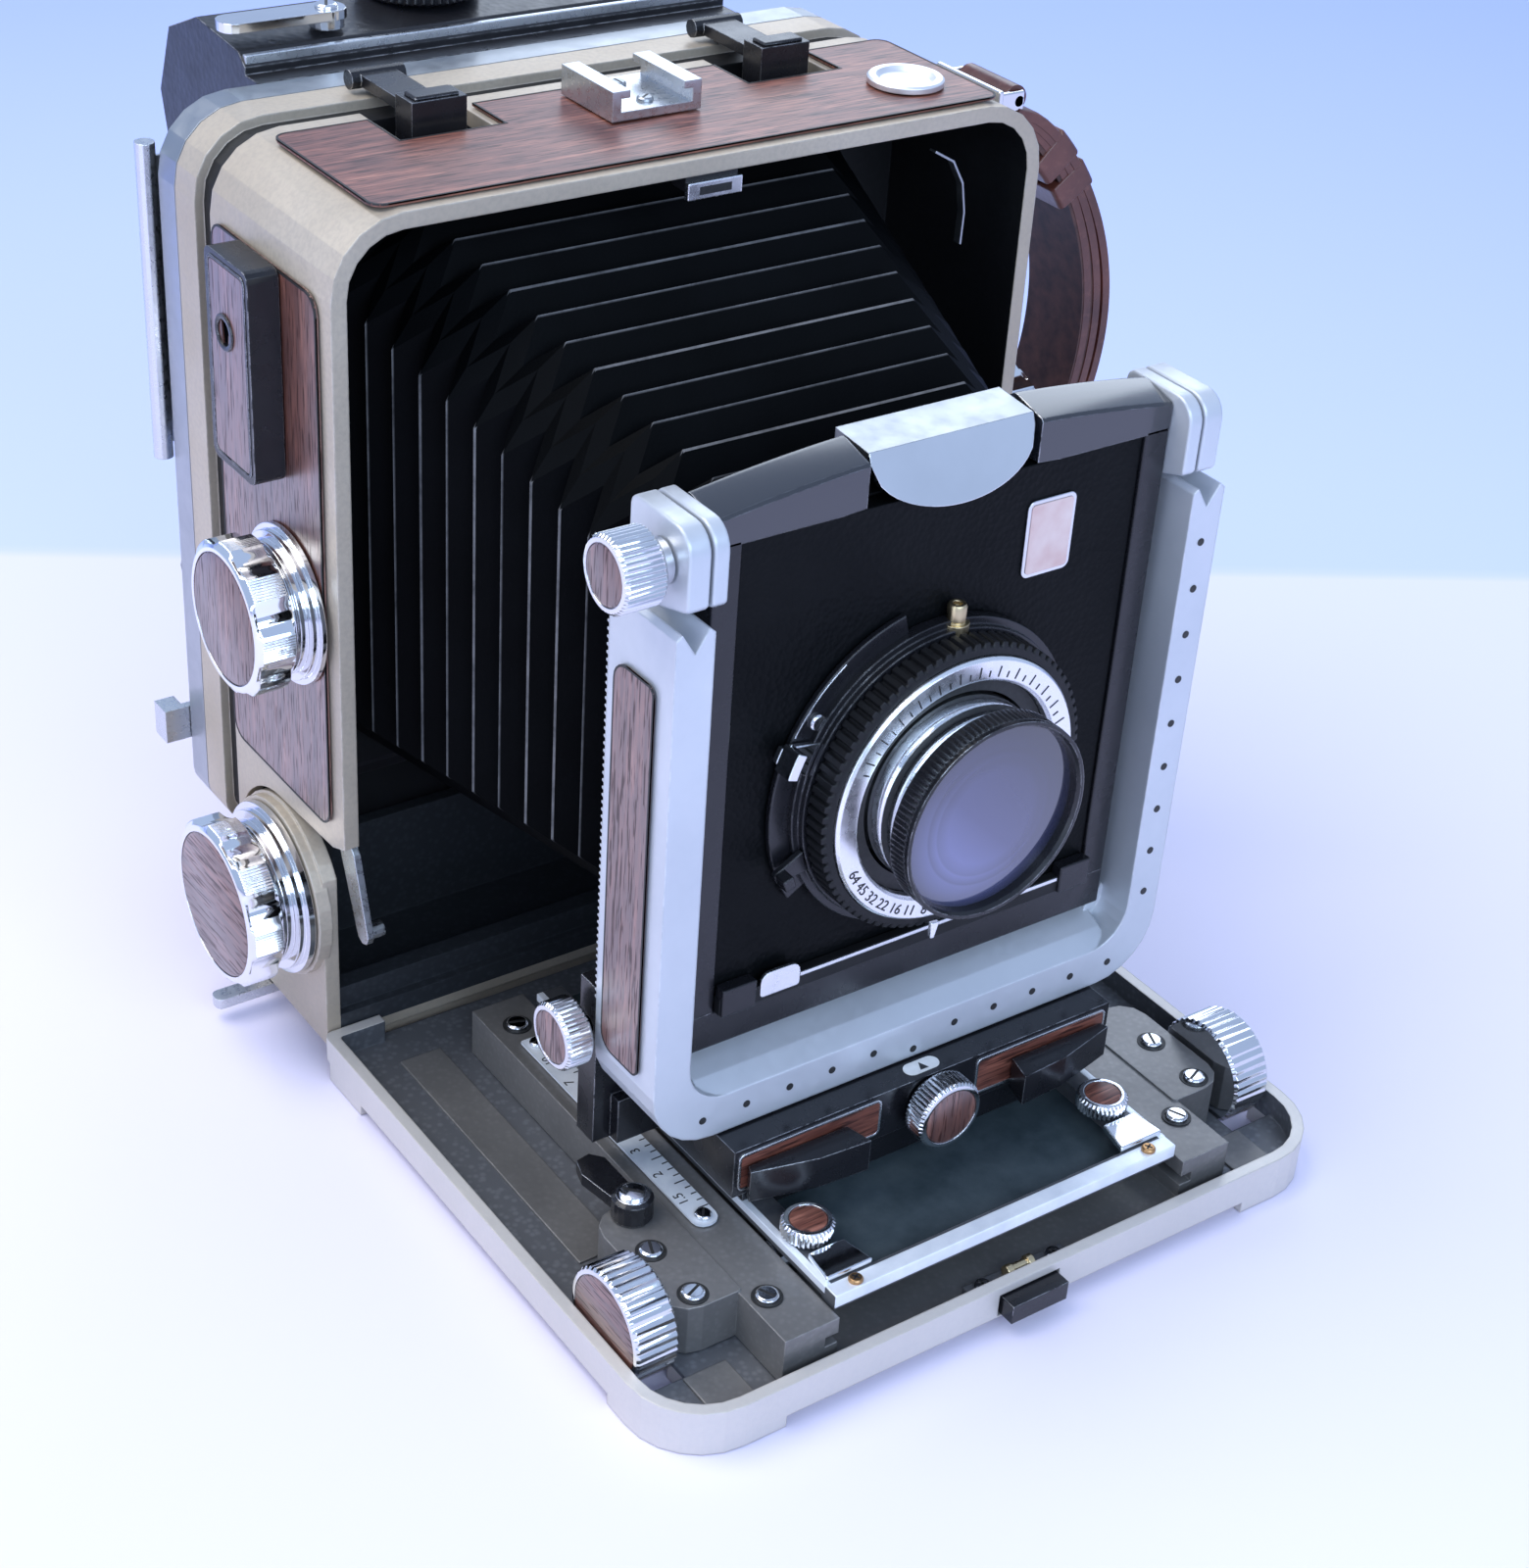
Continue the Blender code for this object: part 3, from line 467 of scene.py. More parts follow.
def make_finishes():
    hammer_tone = (0.135, 0.140, 0.152)
    looks = {
        "paint": paint("champagne_paint"),
        "shell": paint("champagne_paint_black_inside",
                       [(2, 79.1, 192.35, 11.9, (-79.1, -40.9, 40), (79.1, 9.5, 192.35)),
                        ((-78.9, -60, 0), (78.9, 9.5, 40))]),
        # the bed's copy of the paint is paled by 0.6 as painted light
        "bed": paint("champagne_paint_hammered_tray",
                     [(1, 80.97, -165.87, 13.5, (-80.97, -165.87, 4.0), (80.97, -33.75, 10.3)),
                      ((-79.0, -40.0, 4.0), (79.0, -30.0, 10.3))], hammer_tone, 0.55, 0.6),
        "base": paint("champagne_paint_dark_inside", [((-79.0, -40.0, 9.0), (79.0, 10.0, 70.0))],
                      (0.030, 0.033, 0.038), 0.3),
        "back": paint("champagne_paint_black_seal", [((-90, 8.0, 0), (90, 15.45, 200))]),
        "hammered": hammered("hammered_grey", hammer_tone),
        "rail": hammered("hammered_pale_grey", (0.245, 0.236, 0.228)),
        "chrome": metal("chrome", (0.80, 0.81, 0.83), 0.10, 0.05),
        "mirror": metal("polished_chrome", (0.88, 0.89, 0.90), 0.05, 0.02),
        "silver": metal("satin_silver", (0.66, 0.68, 0.70), 0.30, 0.08, noise_scale=700.0),
        "bright": metal("bright_silver", (0.92, 0.93, 0.94), 0.26, 0.08),
        "steel": metal("grey_steel", (0.42, 0.44, 0.46), 0.36, 0.08),
        "disc": metal("disc_silver", (0.92, 0.92, 0.92), 0.45, 0.08),
        "bronze": metal("bronze", (0.45, 0.26, 0.12), 0.35, 0.1),
        "brass": metal("brass", (0.62, 0.5, 0.3), 0.3, 0.08),
        "wood_X": wood("rosewood_X", "X", 0.15, 1.0),
        "wood_Y": wood("rosewood_Y", "Y", 1.0, 0.7),
        "wood_Z": wood("rosewood_Z", "Z", 1.0, 0.7),
        "scale": speckled("scale_silver", (0.66, 0.69, 0.73), 0.4, 0.15, 220.0, 4.0,
                          (0.58, 0.61, 0.66), (0.74, 0.77, 0.80)),
        "leather_edge": speckled("leather_edge", (0.035, 0.012, 0.01), 0.55, 0.0, 300.0, 3.0,
                                 (0.03, 0.01, 0.008), (0.09, 0.035, 0.025)),
        "thread": speckled("thread", (0.30, 0.14, 0.09), 0.7, 0.0, 900.0, 3.0,
                           (0.22, 0.09, 0.06), (0.4, 0.2, 0.13)),
        "ink": speckled("engraved_black", (0.01, 0.01, 0.01), 0.5, 0.0, 900.0, 3.0, 0.008, 0.02),
        "white": speckled("white_enamel", (0.75, 0.74, 0.70), 0.4, 0.0, 300.0, 3.0,
                          (0.62, 0.61, 0.58), (0.8, 0.79, 0.76)),
        "badge": speckled("blank_badge", (0.62, 0.45, 0.40), 0.3, 0.5, 120.0, 3.0,
                          (0.6, 0.40, 0.36), (0.74, 0.62, 0.56)),
    }

    made, wear_and_highlight = enamel("black_enamel", (0.008, 0.008, 0.010), 0.26, 0.45, (0.35, 0.05, 0.22),
                        (0.55, 0.55, 0.56), Coat_Weight=0.15, Coat_Roughness=0.15, Specular_IOR_Level=0.42)
    made.set("Metallic", wear_and_highlight)
    made.vary("Roughness", 150.0, 4.0, 0.2, 0.36, top=0.75)
    made.bump(made.noise(420.0, 2.0), 0.12, 0.05)
    looks["black"] = made.material

    made, wear_and_highlight = enamel("black_gloss", (0.012, 0.013, 0.017), 0.2, 0.5, (0.4, 0.05, 0.2), (0.65, 0.66, 0.68),
                        Coat_Weight=0.7, Coat_Roughness=0.14, Specular_IOR_Level=0.7)
    made.set("Metallic", wear_and_highlight)
    made.bump(made.noise(350.0, 2.0), 0.12, 0.05)
    looks["gloss"] = made.material

    made, wear_and_highlight = enamel("holder_enamel", (0.010, 0.010, 0.012), 0.3, 0.6, (0.5, 0.05, 0.22),
                        (0.45, 0.45, 0.47), Specular_IOR_Level=0.5)
    made.vary("Roughness", 150.0, 4.0, 0.26, 0.4, top=0.75)
    made.bump(made.cells(620.0, smooth=0.3), 0.45, 0.12)
    looks["holder"] = made.material

    made = Finish("black_satin", (0.008, 0.008, 0.009), 0.5, Specular_IOR_Level=0.3)
    made.soft_edges(0.3)
    made.vary("Roughness", 150.0, 4.0, 0.42, 0.6, top=0.75)
    made.bump(made.noise(700.0, 2.0), 0.15, 0.04)
    looks["black_satin"] = made.material

    made = Finish("black_crinkle", (0.005, 0.005, 0.006), 0.45, Specular_IOR_Level=0.09)
    made.soft_edges(0.5)
    made.vary("Base Color", 60.0, 3.0, (0.002, 0.0025, 0.003), (0.004, 0.0045, 0.005))
    made.bump(made.cells(820.0, smooth=0.25), 0.75, 0.16)
    made.bump(made.noise(1500.0, 2.0), 0.3, 0.05)
    looks["crinkle"] = made.material

    made = Finish("track_silver", (0.86, 0.88, 0.92), 0.38, 0.35)
    made.soft_edges(0.3)
    made.vary("Base Color", 160.0, 4.0, (0.76, 0.79, 0.84), (0.92, 0.94, 0.97))
    looks["nose"] = made.material

    # painted reflection: the track floor's dark blue tone stands for blue light reflected in it, patchy with
    # noise
    made = Finish("track_floor", (0.06, 0.072, 0.08), 0.5, 0.2)
    patchy_sheen = made.noise(90.0, 5.0, 0.65)
    made.set("Base Color", made.ramp(patchy_sheen, (0.3, (0.022, 0.036, 0.043)), (0.7, (0.058, 0.078, 0.088))))
    made.bump(made.noise(700.0, 2.0), 0.3, 0.06)
    looks["floor"] = made.material

    made = Finish("cast_silver", (0.64, 0.66, 0.69), 0.38, 0.45)
    made.soft_edges(0.6)
    cloud = made.ramp(made.noise(30.0, 4.0), (0.35, 0.0), (0.75, 0.7))
    tone = made.mix(cloud, (0.585, 0.61, 0.645), (0.47, 0.50, 0.54))
    made.set("Base Color", made.mix(made.edges(0.6, 0.06, 0.3), tone, (0.85, 0.86, 0.88)))
    made.vary("Roughness", 500.0, 3.0, 0.32, 0.46)
    made.bump(made.noise(900.0, 2.0), 0.18, 0.05)
    looks["cast"] = made.material

    made = Finish("brown_leather", (0.11, 0.03, 0.022), 0.34, Coat_Weight=0.2, Coat_Roughness=0.3)
    tone = made.ramp(made.noise(55.0, 4.0, 0.6), (0.3, (0.055, 0.014, 0.011)), (0.7, (0.15, 0.045, 0.03)))
    rubbed = made.ramp(made.noise(600.0), (0.55, 0.0), (0.75, 0.35))
    made.set("Base Color", made.mix(rubbed, tone, (0.22, 0.08, 0.055)))
    made.vary("Roughness", 90.0, 3.0, 0.26, 0.45)
    made.bump(made.cells(900.0), 0.25, 0.08)
    made.bump(made.noise(120.0, 4.0), 0.3, 0.3)
    looks["leather"] = made.material

    # painted highlight: "fold" is 1 on a fold's crest, where thin light-grey lines, broken by noise, stand
    # for light caught on the crests
    made = Finish("bellows_cloth", (0.003, 0.003, 0.004), 0.55, Specular_IOR_Level=0.05)
    fold = made.new("ShaderNodeAttribute", attribute_name="fold").outputs["Fac"]
    wear_and_highlight = made.math("MULTIPLY", made.ramp(fold, (0.94, 0.0), (0.99, 1.0)),
                     made.ramp(made.noise(140.0, 4.0, 0.7), (0.25, 0.3), (0.6, 1.0)))
    cloth = made.ramp(made.noise(40.0), (0.3, (0.0008, 0.001, 0.0013)), (0.7, (0.002, 0.0024, 0.003)))
    made.set("Base Color", made.mix(wear_and_highlight, cloth, (0.15, 0.147, 0.15)))
    made.bump(made.cells(1300.0), 0.35, 0.05)
    looks["bellows"] = made.material

    # painted reflection: the glass pales towards one side as light reflected in it, with the lens's inner
    # rings showing through
    made = Finish("coated_glass", (0.035, 0.03, 0.075), 0.03, Coat_Weight=1.0, Coat_Roughness=0.02,
                  Specular_IOR_Level=0.9)
    across, _, height = made.split()
    high = made.math("SUBTRACT", height, LENS_HEIGHT * MM)
    reflection_slope = made.math("ADD", made.math("MULTIPLY", made.math("ADD", high, across), -18.0), 0.5, True)
    tone = made.ramp(reflection_slope, (0.1, (0.02, 0.022, 0.05)), (0.55, (0.06, 0.06, 0.14)),
                     (0.95, (0.17, 0.18, 0.38)))
    rings = made.math("MULTIPLY", made.math("SQRT", made.square_sum(high, across)), 50.0)
    shade = made.ramp(rings, (0.50, 0.0), (0.62, 0.35), (0.64, 0.15), (0.72, 0.55), (0.74, 0.35), (0.95, 0.8))
    made.set("Base Color", made.mix(shade, tone, (0.012, 0.013, 0.022)))
    looks["glass"] = made.material
    return looks


look = make_finishes()


def screw(name, body, x, y, z, radius=2.3, axis="Z", finish="chrome", cross=False, turn=0.5, outwards=1):
    """A screw head with its slot, standing on a face at z (or at y, for a screw along Y)."""
    along, centre = (z, (x, y)) if axis == "Z" else (y, (x, z))
    height = 0.9 * outwards
    head = turned(axis, centre, [(along, 0), (along, radius), (along + height * 0.6, radius),
                                 (along + height, radius * 0.8), (along + height, 0)], 24)
    slots = []
    for spin in ([turn, turn + math.pi / 2] if cross else [turn]):
        c, s = math.cos(spin), math.sin(spin)
        long, wide = radius * (0.55 if cross else 0.78), radius * 0.13
        corners = [(-long, -wide), (long, -wide), (long, wide), (-long, wide)]
        outline = [(centre[0] + u * c - v * s, centre[1] + u * s + v * c) for u, v in corners]
        slots.append(prism(axis, outline, along + height * 0.85, along + height * 1.04))
    piece(name, [head], finish, body, bevel=0.1)
    piece(name + "_slot", slots, "ink", body)


# ---- bellows ----

def bellows_outline(y):
    """Half width, bottom and top of the bellows' outer folds at a distance along Y."""
    t = (BELLOWS_BACK - y) / (BELLOWS_BACK - BELLOWS_FRONT)
    return [back + (front - back) * t for back, front in ((66, 44.2), (54.5, 56.8), (186.5, 149.8))]


def bellows_ring(y, phase):
    """Cross-section at a fold, and where it is a crest: phase 0 on top and bottom, 1 on the sides."""
    half, low, high = bellows_outline(y)
    depth, cut = 6.4, 10.5
    x1, z0, z1 = (half, low + depth, high - depth) if phase else (half - depth, low, high)
    corner = cut * 0.42
    right = [(x1, z0 + cut), (x1, (z0 + z1) / 2), (x1, z1 - cut), (x1 - corner, z1 - corner), (x1 - cut, z1),
             (0, z1)]
    left = [(-x, z) for x, z in right[-2::-1]]
    bottom = [(corner - x1, z0 + corner), (cut - x1, z0), (0, z0), (x1 - cut, z0), (x1 - corner, z0 + corner)]
    on, off = (1, 0) if phase else (0, 1)
    crests = ([on] * 3 + [0.4] + [off] * 3 + [0.4]) * 2
    return [(x, y, z) for x, z in right + left + bottom], crests


def make_bellows():
    joints = [("back", "base", 9), ("base", "bed", 1), ("bed", "track", 3), ("track", "carriage", 3),
              ("carriage", "swing", 1), ("swing", "shift", 2), ("shift", "rise", 3),
              ("rise", "lens_frame", 7)]
    total = sum(folds for _, _, folds in joints)

    def fold_y(fold):
        return BELLOWS_BACK + (BELLOWS_FRONT - BELLOWS_BACK) * fold / total

    first = 0
    for index, (a, b, folds) in enumerate(joints):
        last = first + folds
        rings = [bellows_ring(fold_y(fold), fold % 2) for fold in range(first, last + 1)]
        points, faces = loft([ring for ring, _ in rings], closed_ends=False)
        mesh = bpy.data.meshes.new("bellows_%d" % (index + 1))
        mesh.from_pydata([tuple(c * MM for c in p) for p in points], [], faces)
        made = bmesh.new()
        made.from_mesh(mesh)
        layer = made.verts.layers.float.new("fold")
        for vertex, crest in zip(made.verts, [crest for _, crests in rings for crest in crests]):
            vertex[layer] = crest
        bmesh.ops.recalc_face_normals(made, faces=made.faces)
        made.to_mesh(mesh)
        made.free()
        mesh.materials.append(look["bellows"])
        strip = bpy.data.objects.new(mesh.name, mesh)
        scene.collection.objects.link(strip)
        solid = strip.modifiers.new("Solidify", "SOLIDIFY")
        solid.thickness = 0.5 * MM
        solid.offset = -1
        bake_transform(strip)
        if index == 0:
            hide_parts("bellows")
        first = last


make_bellows()

# ---- CAD nodes whose shapes stay ----

for finish, names in {
    "shell": "shell",
    "base": "base_casting",
    "paint": "base_plate",
    "bed": "bed_tray",
    "back": "back_frame",
    "steel": "holder_frame",
    "rail": "bed_rails",
    "hammered": "track",
    "crinkle": "lens_board",
    "holder": "roll_holder",
    "chrome": "wind_lever focus_shaft",
    "black": "carriage swing_beam shift_slide side_block top_latch_left top_latch_right wing_lever_left "
             "wing_lever_right track_lock_lever bed_latch_button",
    "silver": "dark_slide accessory_shoe swing_lock_lever strut_left strut_right back_lock_upper "
              "back_lock_lower",
    "cast": "u_frame",
    "wood_X": "veneer_top",
    "wood_Z": "veneer_left veneer_right leg_inlay_left leg_inlay_right",
    "scale": "scale_plate",
}.items():
    dress(finish, *names.split())


# ---- knobs ----

def scalloped(count, depth, knurl):
    """Radius change for a knob with hollow flutes and finely knurled lands between them."""
    share = 0.62
    low = (1 - share) / 2

    def ripple(angle, row):
        part = (angle * count / (2 * math.pi)) % 1.0
        if row not in (2, 3, 4):
            return 0
        if low < part < 1 - low:
            return -depth * math.sin(math.pi * (part - low) / share) ** 1.2
        return knurl * math.cos(angle * count * 22)
    return ripple


def fine_ribs(count, depth, rows):
    def ripple(angle, row):
        return -depth * (0.5 + 0.5 * math.cos(angle * count)) if row in rows else 0
    return ripple


def side_knob(name, body, side, centre, start, radius, washers, thick, flutes, replaces, grain):
    """A chrome knob on a stepped washer, with a round wooden face, turned on X."""
    x = side * start
    steps = [(x + side * along, r) for along, r in washers]
    piece(name + "_washer", [turned("X", centre, [(x, 0)] + steps + [(steps[-1][0], 0)], 72)], "chrome", body,
          bevel=0.15)
    inner = steps[-1][0] + side * 0.02
    outer = inner + side * thick
    profile = [(inner, radius - 1.6), (inner + side * 0.9, radius), (outer - side * 1.2, radius),
               (outer - side * 0.9, radius - 0.1), (outer - side * 0.35, radius - 0.9), (outer, radius - 1.5),
               (outer, radius - 2.3), (outer - side * 0.7, radius - 2.4)]
    knob = turned("X", centre, [(inner, 0)] + profile + [(outer - side * 0.7, 0)], 8 * 44,
                  ripple=scalloped(*flutes))
    piece(name, [knob], "mirror", body, replaces=replaces, angle=25)
    disc = [(outer - side * 0.72, 0), (outer - side * 0.72, radius - 2.5), (outer - side * 0.2, radius - 2.5),
            (outer + side * 0.05, radius - 3.0), (outer + side * 0.05, 0)]
    piece(name + "_face", [turned("X", centre, disc, 64)], grain, body)


for label, side in SIDES.items():
    side_knob("tilt_knob_" + label, "tilt_lock_" + label, side, (-13, 38.5), 84.6, 18.3,
              [(0, 19.0), (1.6, 19.0), (1.6, 17.6), (3.2, 17.6), (3.2, 15.6), (5.0, 15.6), (5.0, 13.6),
               (6.2, 13.6)], 8.0, (8, 1.5, 0.12), ["tilt_lock_knob_" + label], "wood_Y")
    side_knob("rear_knob_" + label, "rear_knob_" + label, side, (-22.5, 111.4), 83.55, 15.8,
              [(0, 16.4), (1.2, 16.4), (1.2, 15.2), (2.6, 15.2), (2.6, 13.6), (4.2, 13.6), (4.2, 12.0),
               (5.4, 12.0)], 8.6, (8, 1.3, 0.1), ["swing_knob_" + label], "wood_Z")


def small_knob(name, body, axis, centre, start, length, radius, side, replaces, neck=None, ribs=60,
               face="wood_Z"):
    """A straight-knurled knob with a wooden face and an optional collar behind it."""
    shapes, x, end = [], start, start + side * length
    if neck:
        x += side * neck[0]
        shapes.append(peg(axis, centre, neck[1], start, x, 40))
    profile = [(x, 0), (x, radius - 0.8), (x + side * 0.6, radius), (end - side * 0.7, radius),
               (end - side * 0.1, radius - 0.6), (end, radius - 1.0), (end, radius - 1.5),
               (end - side * 0.5, radius - 1.6), (end - side * 0.5, 0)]
    shapes.append(turned(axis, centre, profile, ribs * 6, ripple=fine_ribs(ribs, 0.42, (2, 3))))
    piece(name, shapes, "chrome", body, replaces=replaces, angle=28)
    disc = [(end - side * 0.52, 0), (end - side * 0.52, radius - 1.7), (end - side * 0.1, radius - 1.7),
            (end + side * 0.05, radius - 2.1), (end + side * 0.05, 0)]
    piece(name + "_face", [turned(axis, centre, disc, 48)], face, body)


small_knob("lens_tilt_knob_body", "tilt_lock", "X", (-117.5, 159.5), -60.35, 11.5, 7.2, -1,
           ["lens_tilt_knob"], neck=(2.9, 4.2), ribs=44)
small_knob("rise_knob_body", "rise_drive", "X", (-102, 52), -63.4, 7.1, 7.0, -1, ["rise_knob"],
           neck=(1.2, 3.2), ribs=44)
small_knob("shift_knob_body", "shift_lock", "Y", (0, 29.8), -132.7, 7.3, 7.8, -1, ["shift_lock_knob"],
           neck=(1.6, 5.0), ribs=48)
for label, side in SIDES.items():
    small_knob("stop_%s_body" % label, "stop_" + label, "Z", (side * 37.4, -144), 19.65, 3.75, 5.4, 1,
               ["stop_knob_" + label], ribs=34, face="wood_X")
    small_knob("focus_%s_body" % label, "focus_drive", "X", (-139, 12.2), side * 70.65, 9.65, 11.9, side,
               ["focus_knob_" + label], ribs=40, face="wood_Y")


# ---- lens frame, its board and clip ----

def make_lens_frame():
    half, front_y, back_y, crown_radius = 51.5, -120.2, -110.1, 331
    shapes = [block((-half, half), (front_y, back_y), (52.2, 60.4))]
    shapes += both_sides(block((45.7, half), (front_y, back_y), (60.2, 161)))
    piece("lens_frame_rails", shapes, "black", "lens_frame", replaces=["lens_frame"], bevel=0.4)
    hole = [(-45.8, 60.2), (45.8, 60.2), (45.8, 160.4), (-45.8, 160.4)]
    rear = [(-40.3, 64), (40.3, 64), (40.3, 141), (-40.3, 141)]
    piece("lens_frame_ledge", [band("Y", hole, rear, -115.3, back_y)], "black_satin", "lens_frame")
    for label, side in SIDES.items():
        sections = []
        for i in range(13):
            x = 19.4 + (half - 19.4) * i / 12
            crest = math.sqrt(crown_radius ** 2 - x ** 2) - 159.2
            low = 160.2 if i > 1 else 160.2 + (2 - i) * 0.2
            sections.append([(side * x, front_y, low), (side * x, front_y, crest - 2.6),
                             (side * x, front_y + 0.5, crest - 2.0), (side * x, -112.5, crest - 0.2),
                             (side * x, -111.6, crest - 0.2), (side * x, back_y, crest - 1.2),
                             (side * x, back_y, low)])
        piece("lens_frame_crown_" + label, [loft(sections)], "gloss", "lens_frame", angle=25)
    piece("lens_frame_bridge", [block((-19.4, 19.4), (-112.0, back_y), (141.0, 167.0))], "black",
          "lens_frame", bevel=0.4)
    cheek = arc((-115.5, 159.0), 9.0, -105, -75, 5)
    cheek += [(-107.2, 152.1), (-106.6, 152.7), (-106.6, 165.6), (-107.0, 166.8), (-108.2, 167.6)]
    cheek += arc((-120.3, 162.6), 5.0, 90, 180, 6) + [(-125.3, 153.0), (-124.7, 152.4)]
    slit = [(-115.5 + (y + 115.5) * 0.86, 159.4 + (z - 159.4) * 0.86) for y, z in cheek]
    for label, side in SIDES.items():
        plates = [prism("X", cheek, side * 51.7, side * 54.9), prism("X", cheek, side * 55.5, side * 60.0)]
        piece("tilt_cap_" + label, plates, "cast", "lens_frame", bevel=0.5)
        piece("tilt_cap_web_" + label, [prism("X", slit, side * 54.7, side * 55.7)], "ink", "lens_frame")
        pin = rod("X", (-115.5, 159), 2.2, side * 51.4, side * 60.2, 24)
        piece("tilt_pin_" + label, [pin], "chrome", "lens_frame", bevel=0.1)
    bar = block((-45.6, 45.6), (-121.9, -119.7), (60.4, 64.2))
    piece("board_foot_bar", [bar], "black_satin", "lens_frame", bevel=0.3)
    piece("board_foot_ends", both_sides(block((37.5, 45.4), (-122.6, -119.7), (60.3, 66.6))), "black",
          "lens_frame", bevel=0.4)
    line = block((-27.0, 37.2), (-122.1, -121.8), (63.3, 64.1))
    piece("board_foot_line", [line], "bright", "lens_frame")
    tag = rounded((-36.6, 61.8), (-27.4, 67.2), (0.8, 0.8, 2.2, 2.2), 4)
    piece("board_foot_tag", [prism("Y", tag, -122.5, -121.7)], "bright", "lens_frame", bevel=0.1)


def make_clip():
    """The board's sliding clip: a flat top plate and a mirror-bright lip with a curved lower edge."""
    half, rows = 18.5, 26
    top_back, top_front = (-108.2, 171.0), (-118.2, 170.2)
    plates, lips = [], []
    for i in range(rows + 1):
        x = -half + 2 * half * i / rows
        reach = 0.18 + 0.82 * math.sqrt(max(0.0, 1 - (x / half) ** 2))
        low_y, low_z = top_front[0] - 5.2 * reach, top_front[1] - 11.6 * reach
        plates.append([(x, top_back[0], top_back[1] - 2.0), (x, *top_back), (x, *top_front),
                       (x, top_front[0] + 0.6, top_front[1] - 2.0)])
        lips.append([(x, top_front[0] - 0.02, top_front[1] - 0.02), (x, low_y, low_z),
                     (x, low_y + 1.3, low_z - 0.3), (x, top_front[0] + 0.8, top_front[1] - 2.0)])
    piece("board_clip_plate", [loft(plates)], "steel", "clip", replaces=["board_clip"], angle=25)
    piece("board_clip_lip", [loft(lips)], "mirror", "clip", angle=25)
    piece("board_clip_stem", [block((-13, 13), (-118.6, -113.0), (161.0, 168.4))], "black_satin", "clip",
          bevel=0.3)


make_lens_frame()
make_clip()


# ---- lens and shutter ----

